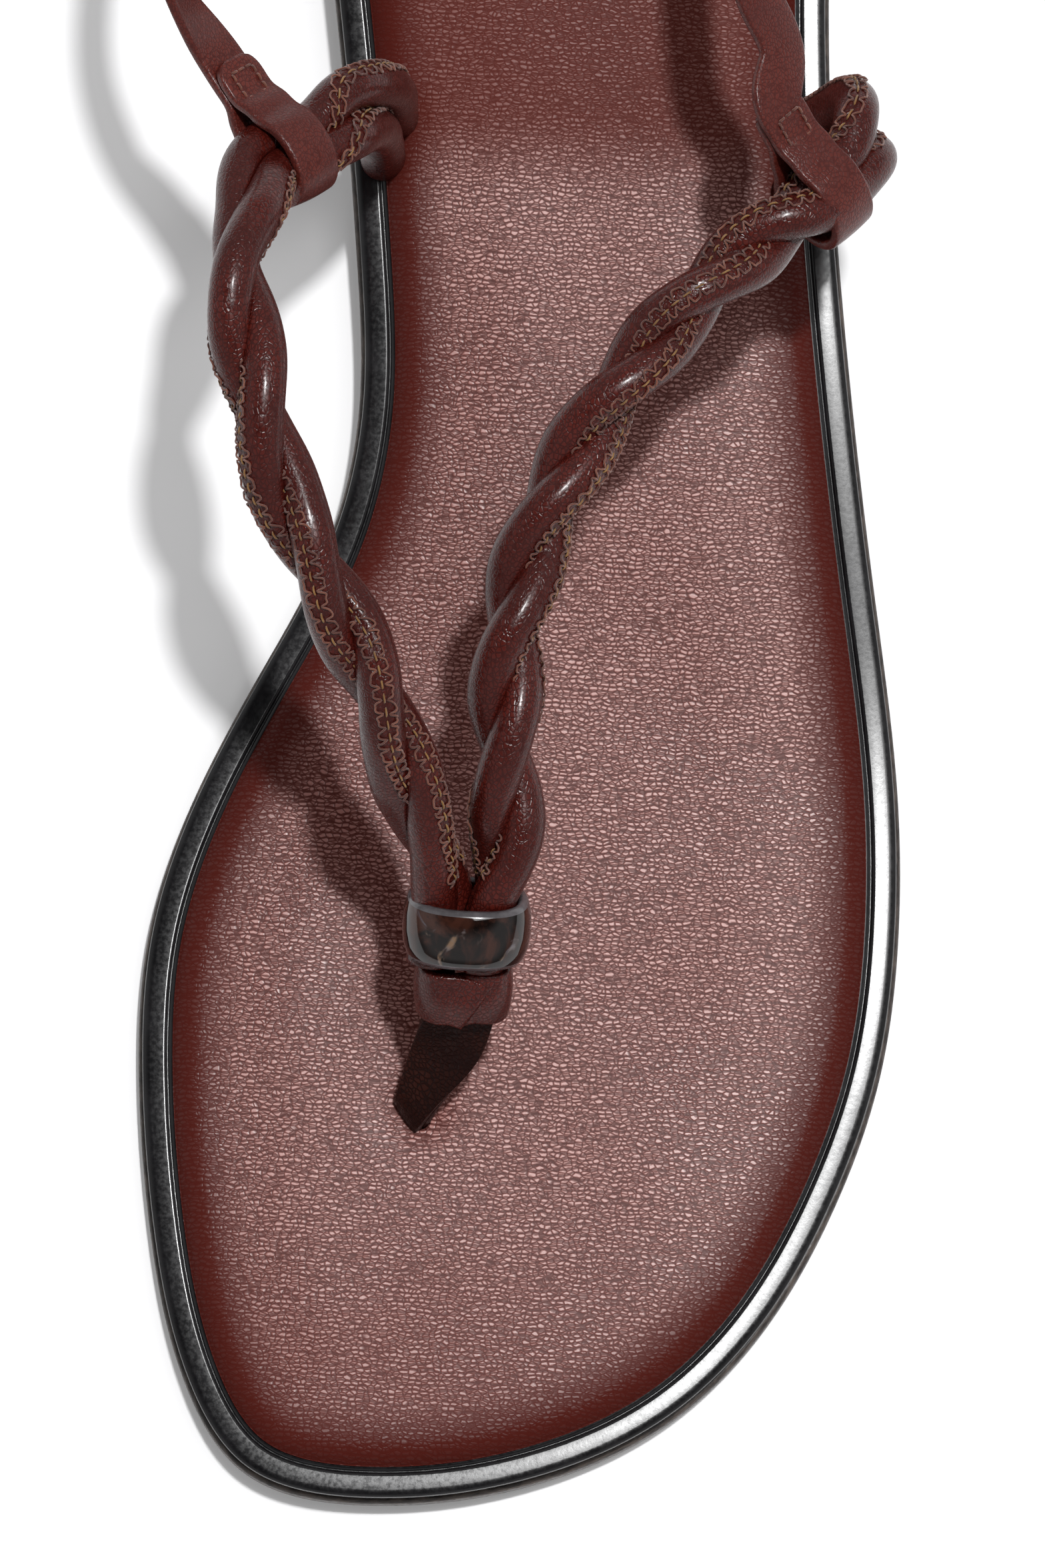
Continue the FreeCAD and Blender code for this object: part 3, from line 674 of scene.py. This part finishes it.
def make_rim():
    """The lacquered rim: a round outer edge, a low ridge inside it and a crease beside the insole."""
    profile = [(5.5, 3.02), (1.0, 3.02), (0.42, 3.1), (0.22, 3.35), (0.16, 4.2), (0.12, 5.0)]
    profile += arc_profile(0.56, 5.32, 0.44, 178, 102, 6)
    for distance in np.linspace(0.75, 2.85, 8):
        profile.append((distance, 6.0 - 0.028 * (3.0 - distance) ** 2))
    profile += [(2.97, 5.78), (3.09, 5.68), (3.22, 5.78), (3.36, 5.93)]
    profile += [(3.8, 5.95), (4.6, 5.95), (5.5, 5.95)]
    obj = mesh_object("lacquered_rim", *ring_band(edge_rings(profile), closed=True))
    weld(obj)
    piece(obj, "sandal", "black_leather", ["rim"], "welt_rim")


def slot_loop():
    turn = arr(math.cos(POST_TURN), math.sin(POST_TURN))
    flat = arr(-turn[1], turn[0])
    loop = []
    for k in range(28):
        a = 2 * math.pi * k / 28
        loop.append(arr(*SLOT) + turn * SLOT_HALF[0] * math.cos(a) + flat * SLOT_HALF[1] * math.sin(a))
    return np.array(loop)


def cover_height(distance):
    """Top of the insole leather above the underside, by its distance from the sole's edge."""
    rise = 1.0 - np.clip(1.0 - (distance - RIM_SHOWN + 0.15) / 3.4, 0, 1) ** 2.6
    return SOLE_EDGE + 0.15 + 1.75 * rise + 0.55 * blend_step(distance, 5.0, 20.0)


def make_insole():
    """The padded insole: crowned, rolled down to the rim, dimpled where the post goes in."""
    steps = [3.62, 3.7, 3.8, 3.92, 4.08, 4.3, 4.6, 5.0, 5.5, 6.2, 7.0, 8.0]
    rings = [(4.3, SOLE_EDGE - 0.02), (3.85, SOLE_EDGE), (3.66, SOLE_EDGE + 0.2)]
    loops = edge_rings(rings + [(d + 0.06, 0.0) for d in steps])
    inner, tris = filled(loops[-1][:, :2], 1.6, [slot_loop()])
    tree = search_tree(OUTLINE_LINE)
    sides = len(OUTLINE_LINE)
    verts = loops.reshape(-1, 3)
    faces = quads(len(loops), sides)
    start = len(verts)
    last_ring = start - sides
    verts = np.vstack([verts, np.column_stack([inner, np.zeros(len(inner))])])
    faces += [tuple((last_ring if k < sides else start) + k for k in f) for f in tris]
    far = np.array([tree.find((x, y, 0))[2] for x, y, _ in verts])
    top = np.arange(len(verts)) >= len(rings) * sides
    height = cover_height(far) + 0.05 * np.sin(verts[:, 0] * 0.23 + 1.0) * np.sin(verts[:, 1] * 0.17)
    away = np.hypot(verts[:, 0] - SLOT[0], verts[:, 1] - SLOT[1])
    height -= DIMPLE_DEPTH * np.exp(-(away / DIMPLE_R) ** 2)
    for ends in MEDIAL_ENDS + LATERAL_ENDS:
        x, y, _ = ends[-1]
        height -= 0.8 * np.exp(-(np.hypot(verts[:, 0] - x, verts[:, 1] - y) / 3.0) ** 2) * top
    verts[top, 2] = underside(verts[top, 1]) + height[top]
    wall = slot_loop()
    mouth = underside(wall[:, 1]) + cover_height(30.0) - DIMPLE_DEPTH * math.exp(-(2.1 / DIMPLE_R) ** 2)
    walls = []
    for drop, shrink in ((0.0, 1.0), (-0.35, 0.9), (-1.4, 0.84), (-3.0, 0.84)):
        walls.append(np.column_stack([arr(*SLOT) + (wall - arr(*SLOT)) * shrink, mouth + drop]))
    obj = joined("insole_cover_leather", [(verts, faces), ring_band(np.array(walls))])
    weld(obj)
    layer = obj.data.attributes.new("edge", "FLOAT", "POINT")
    co = np.zeros(len(obj.data.vertices) * 3)
    obj.data.vertices.foreach_get("co", co)
    co = co.reshape(-1, 3) / MM
    far = np.array([tree.find((x, y, 0))[2] for x, y, _ in co])
    # edge mask: 1 minus 0.1 at the rim, gone by 11.5 mm in; the insole look paints shade with it
    edge = 0.9 * (1 - blend_step(far, 4.6, 11.5))
    layer.data.foreach_set("value", edge.astype(np.float32))
    # gloss mask: lower towards the edge, the heel and the toe; it sets the specular level and also places
    # the painted sheen, so its fall-off there is painted shade
    gloss = (1 - 0.9 * edge) * (1 - 0.72 * blend_step(co[:, 1], 26.0, 38.0))
    gloss *= 1 - 0.35 * (1 - blend_step(co[:, 1], -118.0, -84.0))
    layer = obj.data.attributes.new("gloss", "FLOAT", "POINT")
    layer.data.foreach_set("value", gloss.astype(np.float32))
    piece(obj, "sandal", "insole_leather", ["insole"], "insole_cover", "insole_pad")


# ---------------------------------------------------------------- toe post, wraps and bead
def band(name, stations, width, low, high, corner=0.3, crown=0.12, step=0.6, tip=0):
    """A strap along stations of (place, width direction), its faces low and high above the line."""
    rows = smooth([tuple(p) + tuple(unit(a)) for p, a in stations], step)
    line, across = rows[:, :3], rows[:, 3:6]
    along = tangents(line)
    normal = unit(np.cross(along, across))
    wide = np.cross(normal, along)
    sections = []
    for k in range(len(line)):
        w = width(k / (len(line) - 1)) if callable(width) else width
        if tip:
            u = min(k * step / tip, (len(line) - 1 - k) * step / tip, 1)
            w *= 0.5 + 0.5 * math.sqrt(u * (2 - u))
        sections.append(round_section(w, low, high, corner, crown))
    return swept(name, line, wide, normal, np.array(sections))


def make_post():
    turn = (math.cos(POST_TURN), math.sin(POST_TURN), 0)
    x, y = SLOT
    stations = [
        ((x, y, 4.6), turn), ((x, y, 9.4), turn), ((-5.4, -77.0, 14.2), (0.86, -0.50, 0.1)),
        ((-3.0, -72.4, 20.0), (1, -0.1, 0)), ((-2.0, -68.6, 25.0), (1, 0, 0)),
    ]
    width = lambda t: 4.4 + 3.6 * blend_step(t, 0.15, 0.75)
    front = band("post_front_layer", stations, width, 0.06, 1.25, 0.22, 0.1, 0.5)
    back = band("post_back_layer", stations, width, -1.2, 0.0, 0.22, 0.1, 0.5)
    piece(front, "sandal", "post_leather", ["post"], "toe_post")
    piece(back, "sandal", "post_leather", ["post"], "toe_post")


def make_wraps():
    half = [(1.0, -2.2), (3.4, -2.2), (4.6, -1.5), (4.9, 0.0), (4.6, 1.6), (3.2, 2.4), (1.0, 2.5)]
    centre, front = np.array(WRAP_AT), np.array(WRAP_FRONT)
    for name, node, side, lift in (("left_wrap", "post_wrap_medial", -1, 0.5),
                                   ("right_wrap", "post_wrap_lateral", 1, 0.0)):
        stations = []
        for k, (a, b) in enumerate(half):
            place = centre + arr(1, 0, 0) * side * a + front * (b + lift * (k > 4))
            stations.append((place, WRAP_AXIS))
        reach = centre + arr(1, 0, 0) * (-side) * 1.6 + front * (2.3 + lift)
        stations.append((reach + np.array(WRAP_AXIS) * (-1.0), WRAP_AXIS))
        obj = band(name, stations, 7.4, -0.55, 0.6, 0.4, 0.3, 0.4)
        piece(obj, "sandal", "cord_leather", ["cord"], node)


def make_bead():
    """The polished bead: a flattened ring with a swollen band and bevelled rims, the bevels painted light
    grey for the reflection on them.
    """
    axis, front = unit(RING_AXIS), unit(RING_FRONT)
    side = unit(np.cross(axis, front))
    count, height = 120, 3.6
    profile = [(0.0, -height + 0.9), (0.02, -height + 0.35), (0.35, -height), (0.85, -height + 0.02),
               (1.25, -height + 0.55), (1.6, -height * 0.5), (1.75, 0.0), (1.6, height * 0.5),
               (1.25, height - 0.55), (0.85, height - 0.02), (0.35, height), (0.02, height - 0.35),
               (0.0, height - 0.9)]
    grid = []
    for k in range(count):
        a = 2 * math.pi * k / count
        c, s = math.cos(a), math.sin(a)
        corner = (abs(c) ** 2.6 + abs(s) ** 2.6) ** (-1 / 2.6)
        out = unit(arr(c * 1.0, s * 1.08))
        base = arr(5.75 * c, 5.1 * s) * corner
        ring = []
        for r, h in profile:
            x, y = base + out * r
            ring.append(np.array(RING_AT) + side * x + front * y + axis * h)
        grid.append(ring)
    verts, faces = skin(np.array(grid), closed=True)
    obj = mesh_object("bead_ring", verts, faces)
    piece(obj, "sandal", "horn_resin", ["resin", "bevel_reflection"], "ring_bead")
    # the bevel faces get the painted reflection grey
    for k, face in enumerate(obj.data.polygons):
        if k % len(profile) in (1, 2, 3, 8, 9, 10):
            face.material_index = 1


# ---------------------------------------------------------------- twisted straps
def loop_axes(run, lean):
    """The long and short directions of a strap's loop round cords that run along run."""
    run = unit(run)
    along = unit(arr(*lean) - run * np.dot(arr(*lean), run))
    return along, unit(np.cross(run, along))


MEDIAL_AXES = loop_axes(MEDIAL_DIR, (-0.69, 0.71, 0.15))
LATERAL_AXES = loop_axes(LATERAL_DIR, (-0.30, 0.90, 0.33))


def twisted_cord(line, loop, run, twist, sign, ends):
    """The middle line of one cord of a pair and the direction away from its neighbour."""
    run = unit(run)
    loop = np.array(loop)
    through_loop = [tuple(loop - run * LOOP_HALF_RUN), tuple(loop + run * LOOP_HALF_RUN)]
    rows = smooth(list(line) + through_loop, TWIST_STEP)
    along = tangents(rows)
    normal = carried(rows, RING_FRONT)
    other = np.cross(along, normal)
    degrees = np.interp(np.linspace(0, 1, len(rows)), *zip(*twist))
    degrees = np.convolve(np.pad(degrees, 4, mode="edge"), np.ones(9) / 9, mode="valid")
    angle = np.radians(degrees)
    out = (normal * np.cos(angle)[:, None] + other * np.sin(angle)[:, None]) * sign
    centre = rows + out * STRAND_R
    path = smooth(np.vstack([centre, np.array(ends)]), CORD_STEP)
    tree = search_tree(centre)
    outward, touching, strap_share = [], [], []
    hold = None
    tangent = tangents(path)
    for k, p in enumerate(path):
        index = tree.find(p)[1]
        if index < len(centre) - 1:
            forward = tangents(centre[max(index - 1, 0):index + 2])[0]
            share_on = np.dot(p - centre[index], forward) / TWIST_STEP
            nxt = min(max(index + (1 if share_on > 0 else -1), 0), len(centre) - 1)
            hold = out[index] * (1 - abs(share_on)) + out[nxt] * abs(share_on)
            touching.append(1.0)
            strap_share.append(index / (len(centre) - 1))
        else:
            touching.append(0.0)
            strap_share.append(1.0)
        hold = unit(hold - tangent[k] * np.dot(hold, tangent[k]))
        outward.append(hold)
    return path, np.array(outward), np.array(touching), np.array(strap_share)


def seam_turn(seam_angle, strap_share, path, outward, other):
    """Where the seam lies round a cord, in radians from the outward direction; the seam keeps facing
    one way while the pair twists, and behind the loop it turns to face up and back."""
    along = tangents(path)
    up = unit(arr(0, -0.14, 1) - along * (along @ arr(0, -0.14, 1))[:, None])
    right = np.cross(along, up)
    even = np.convolve(np.pad(strap_share, 3, mode="edge"), np.ones(7) / 7, mode="valid")
    facing = np.radians(np.interp(even, *zip(*seam_angle)))
    way = up * np.cos(facing)[:, None] + right * np.sin(facing)[:, None]
    phi = np.unwrap(np.arctan2((way * other).sum(1), (way * outward).sum(1)))
    first = int(np.argmax(strap_share >= 1.0))
    back = unit(arr(0.0, 0.6, 0.8))
    for k in range(first, len(phi)):
        wanted = math.atan2(np.dot(back, other[k]), np.dot(back, outward[k]))
        turn = (wanted - phi[first - 1] + math.pi) % (2 * math.pi) - math.pi
        phi[k] = phi[first - 1] + turn * float(blend_step(k - first, 0, 14))
    return phi


def make_cord(name, node, plan, sign, ends, seam_angle):
    path, outward, touching, strap_share = twisted_cord(*plan, sign, ends)
    along = tangents(path)
    other = np.cross(along, outward)
    angle = np.linspace(0, 2 * math.pi, CORD_SIDES, endpoint=False)
    soft = np.convolve(np.pad(touching, 6, mode="edge"), np.ones(13) / 13, mode="valid")
    phi = seam_turn(seam_angle, strap_share, path, outward, other)
    flat = STRAND_R - 0.02
    towards = -np.cos(angle)
    limit = np.where(towards > 0.2, flat / np.maximum(towards, 0.2), 99)
    clipped = -np.logaddexp(-CORD_R * 9, -limit * 9) / 9
    radius = CORD_R * (1 - soft[:, None]) + clipped[None] * soft[:, None]
    gap = np.angle(np.exp(1j * (angle[None] - phi[:, None])))
    groove = -0.2 * np.exp(-(gap / 0.09) ** 2)
    lips = 0.1 * np.exp(-((np.abs(gap) - 0.24) / 0.13) ** 2)
    count = np.arange(len(path))
    swell = 0.04 * np.sin(count * 0.19 + sign) + 0.03 * np.sin(count * 0.43)
    radius = radius + groove + lips + swell[:, None]
    section = np.stack([np.cos(angle) * radius, np.sin(angle) * radius], 2)
    obj = swept(name, path, outward, other, section)
    piece(obj, "sandal", "cord_leather", ["cord"], node, node.replace("cord", "core"))
    return path, outward, other, phi


def make_seam(name, node, path, outward, other, phi, begin, end, seed):
    """Two rows of overlocked stitches along the seam, and the ochre thread that shows between them."""
    rng = np.random.default_rng(seed)
    run = np.concatenate([[0], np.cumsum(np.linalg.norm(np.diff(path, axis=0), axis=1))])
    table = np.column_stack([path, outward, other, phi])

    def spot(at, angle, lift):
        row = [np.interp(at, run, table[:, c]) for c in range(10)]
        a = row[9] + angle
        side = arr(*row[3:6]) * math.cos(a) + arr(*row[6:9]) * math.sin(a)
        return arr(*row[:3]) + side * (CORD_R + lift)

    places = np.arange(begin * run[-1], end * run[-1], STITCH)
    threads = []
    for side in (1, -1):
        points = []
        for at in places:
            reach = OUTER_ROW * side * (1 + 0.12 * rng.standard_normal())
            slip = 0.12 * rng.standard_normal()
            points += [spot(at + slip, reach, 0.20), spot(at + 0.28 + slip, reach * 0.62, 0.26),
                       spot(at + 0.42 + slip, INNER_ROW * side, 0.10),
                       spot(at + 0.62 + slip, reach * 0.7, 0.27), spot(at + 0.86 + slip, reach * 1.06, 0.2),
                       spot(at + 1.16 + slip, reach * 1.02, 0.13)]
        threads.append(rope(smooth(points, 0.21), SEAM_THREAD_R, 5))
    dashes = []
    for at in places:
        lift = 0.06 + 0.03 * rng.standard_normal()
        points = [spot(at, -0.02, lift - 0.16), spot(at + 0.2, 0.0, lift), spot(at + 0.8, 0.0, lift),
                  spot(at + 1.05, 0.02, lift - 0.16)]
        dashes.append(rope(smooth(points, 0.25), OCHRE_THREAD_R, 5))
    piece(joined(name, threads), "sandal", "seam_thread", ["thread"], node)
    piece(joined(name + "_ochre", dashes), "sandal", "seam_thread", ["ochre"], node)


def make_straps():
    plans = (
        ("medial", (MEDIAL_LINE, MEDIAL_LOOP, MEDIAL_DIR, MEDIAL_TWIST), MEDIAL_ENDS, MEDIAL_SEAM),
        ("lateral", (LATERAL_LINE, LATERAL_LOOP, LATERAL_DIR, LATERAL_TWIST), LATERAL_ENDS, LATERAL_SEAM),
    )
    seed = 3
    for side, plan, ends, seam in plans:
        for letter, sign, way in (("a", 1, ends[0]), ("b", -1, ends[1])):
            seed += 1
            made = make_cord(f"{side}_rolled_cord_{letter}", f"{side}_cord_{letter}", plan, sign, way, seam)
            make_seam(f"{side}_stitches_{letter}", f"{side}_seam_{letter}", *made, 0.07, 0.9, seed)


# ---------------------------------------------------------------- ankle strap and buckle
def loop_stations(centre, axes, across, fold_side):
    """A strap's way round a pair of cords and back to itself, from one end of the fold to the other."""
    points = [(FOLD_TIP, FOLD_OFFSET), (9.6, FOLD_OFFSET), (7.6, 0.8), (6.0, 1.7)]
    for degrees in range(36, 325, 24):
        a = math.radians(degrees)
        points.append((LOOP_LONG * math.cos(a), LOOP_SHORT * math.sin(a)))
    points += [(6.0, -1.7), (7.6, -0.8), (9.6, -FOLD_OFFSET), (FOLD_TIP, -FOLD_OFFSET)]
    centre, across = np.array(centre), unit(across)
    along, face = axes
    return [(centre + along * a + face * b * fold_side, across) for a, b in points]


def buckle_place(pairs):
    return [(np.array(BUCKLE_AT) + BUCKLE_U * u + BUCKLE_N * n, BUCKLE_W) for u, n in pairs]


def make_ankle_strap():
    fold = loop_stations(MEDIAL_LOOP, MEDIAL_AXES, MEDIAL_DIR, 1)
    through = buckle_place([(14.0, -1.5), (11.0, -1.75), (8.6, -1.7), (6.6, -0.6), (4.6, 1.0), (2.8, 2.4),
                            (1.2, 3.15), (-0.8, 3.2), (-2.8, 2.6), (-5.0, 1.65), (-7.0, 1.36),
                            (-12.0, 1.36), (-17.0, 1.36), (-22.0, 1.36)])
    obj = band("ankle_strap_leather", fold + RING_LINE + through, STRAP_W, *STRAP_FACES, 0.4, 0.12, 0.5, 2.6)
    piece(obj, "ankle_loop", "strap_leather", ["strap"], "ankle_strap")
    lining = band("ankle_strap_backing", RING_LINE + through[:1], STRAP_W - 0.7, -1.3, -0.6, 0.2, 0.05)
    piece(lining, "ankle_loop", "lining_leather", ["lining"], "ankle_strap_lining")


def make_short_strap():
    fold = loop_stations(LATERAL_LOOP, LATERAL_AXES, LATERAL_DIR, -1)
    end = buckle_place([(-24.0, 0.0), (-14.0, 0.0), (-7.0, 0.0), (-4.4, 0.55), (-2.2, 1.5), (0.0, 1.8),
                        (1.3, 1.3), (1.8, 0.0), (1.3, -1.3), (0.0, -1.8), (-2.2, -1.7), (-4.4, -1.4),
                        (-9.0, -1.36)])
    obj = band("short_strap_leather", fold + SHORT_LINE + end, STRAP_W, *STRAP_FACES, 0.4, 0.12, 0.5, 2.0)
    piece(obj, "ankle_loop", "strap_leather", ["strap"], "buckle_strap")


def make_box_stitches():
    for side, centre, axes, across in (("medial", MEDIAL_LOOP, MEDIAL_AXES, MEDIAL_DIR),
                                       ("lateral", LATERAL_LOOP, LATERAL_AXES, LATERAL_DIR)):
        along, face = axes
        across = unit(across)
        spot = np.array(centre) + along * STITCH_AT + face * (FOLD_OFFSET + STRAP_FACES[1] + 0.12)
        corners = [(BOX_HALF * a, BOX_HALF * b) for a, b in ((-1, -1), (1, -1), (1, 1), (-1, 1))]
        threads = []
        for (a0, b0), (a1, b1) in zip(corners, corners[1:] + corners[:1]):
            for k in range(3):
                f0, f1 = (k + 0.12) / 3, (k + 0.88) / 3
                pts = []
                for f, lift in ((f0, -0.14), (f0 * 0.8 + f1 * 0.2, 0.08), ((f0 + f1) / 2, 0.12),
                                (f0 * 0.2 + f1 * 0.8, 0.08), (f1, -0.14)):
                    a, b = a0 + (a1 - a0) * f, b0 + (b1 - b0) * f
                    pts.append(spot + along * a + across * b + face * lift)
                threads.append(rope(smooth(pts, 0.15), BOX_THREAD_R, 6))
        obj = joined(f"{side}_square_stitches", threads)
        piece(obj, "ankle_loop", "seam_thread", ["thread"], f"{side}_box_stitch")


def dress_cad():
    for nodes, look in ((("midsole_board",), "board"), (("shank", "heel_nails"), "steel"),
                        (("heel_lift",), "stack"), (("heel_top_piece",), "rubber"),
                        (("buckle_frame", "buckle_prong"), "metal"), (("strap_keeper",), "strap")):
        for node in nodes:
            dress(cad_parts[node], look)


# ---------------------------------------------------------------- studio
def make_floor():
    size = 3.0
    mesh = bpy.data.meshes.new("floor")
    corners = [(-size, -size, 0), (size, -size, 0), (size, size, 0), (-size, size, 0)]
    mesh.from_pydata(corners, [], [(0, 1, 2, 3)])
    floor = bpy.data.objects.new("floor", mesh)
    bpy.context.scene.collection.objects.link(floor)
    look = Look("floor_paper", colour(246, 246, 247), 0.9, Specular_IOR_Level=0.2, Emission_Strength=0.12)
    look.set("Emission Color", (1.0, 1.0, 1.0, 1.0))
    tone = look.noise(look.scaled(60, 60, 60), 2.0)
    look.feed("Base Color", look.mix(tone, colour(245, 245, 246), colour(248, 248, 249)))
    mesh.materials.append(look.material)


def lamp(name, kind, energy, towards, **settings):
    data = bpy.data.lights.new(name, kind)
    data.energy = energy
    for key, value in settings.items():
        setattr(data, key, value)
    obj = bpy.data.objects.new(name, data)
    direction = Vector(towards).normalized()
    obj.location = direction * 1.6
    obj.rotation_euler = direction.to_track_quat("Z", "Y").to_euler()
    bpy.context.scene.collection.objects.link(obj)
    return obj


def make_light():
    lamp("key", "SUN", 2.1, (0.141, 0.182, 1.0), angle=math.radians(3.4))
    lamp("side_box", "AREA", 4.2, (0.26, 0.1, 1.0), shape="RECTANGLE", size=0.34, size_y=0.7)
    world = bpy.data.worlds.new("studio")
    world.use_nodes = True
    nodes, links = world.node_tree.nodes, world.node_tree.links
    background = nodes["Background"]
    way = nodes.new("ShaderNodeSeparateXYZ")
    links.new(nodes.new("ShaderNodeTexCoord").outputs["Generated"], way.inputs[0])
    tone = nodes.new("ShaderNodeValToRGB")
    tone.color_ramp.interpolation = "EASE"
    tone.color_ramp.elements[0].position = 0.0
    tone.color_ramp.elements[0].color = (0.3, 0.3, 0.3, 1)
    tone.color_ramp.elements[1].position = 0.93
    tone.color_ramp.elements[1].color = (0.04, 0.04, 0.04, 1)
    for place in (0.35, 0.68):
        tone.color_ramp.elements.new(place).color = (0.95, 0.95, 0.95, 1)
    links.new(way.outputs["Z"], tone.inputs["Fac"])
    links.new(tone.outputs["Color"], background.inputs["Color"])
    background.inputs["Strength"].default_value = 0.52
    bpy.context.scene.world = world
    bpy.context.scene.view_settings.view_transform = "Standard"


def make_camera():
    data = bpy.data.cameras.new("camera")
    data.lens = 353.0
    data.sensor_width = 36.0
    data.clip_end = 20.0
    camera = bpy.data.objects.new("camera", data)
    bpy.context.scene.collection.objects.link(camera)
    target = Vector((3.1, -41.2, 8.0)) * MM
    place = Vector((18.8, -291.2, 1790.5)) * MM
    back = (place - target).normalized()
    right = Vector((0.998, 0.0628, 0.0))
    right = (right - back * right.dot(back)).normalized()
    up = back.cross(right)
    axes = Matrix((right, up, back)).transposed().to_4x4()
    camera.matrix_world = Matrix.Translation(place) @ axes
    bpy.context.scene.camera = camera


make_camera()
make_light()
make_floor()
dress_cad()
make_outsole()
make_rim()
make_insole()
make_post()
make_wraps()
make_bead()
make_straps()
make_ankle_strap()
make_short_strap()
make_box_stitches()

bpy.context.view_layer.update()
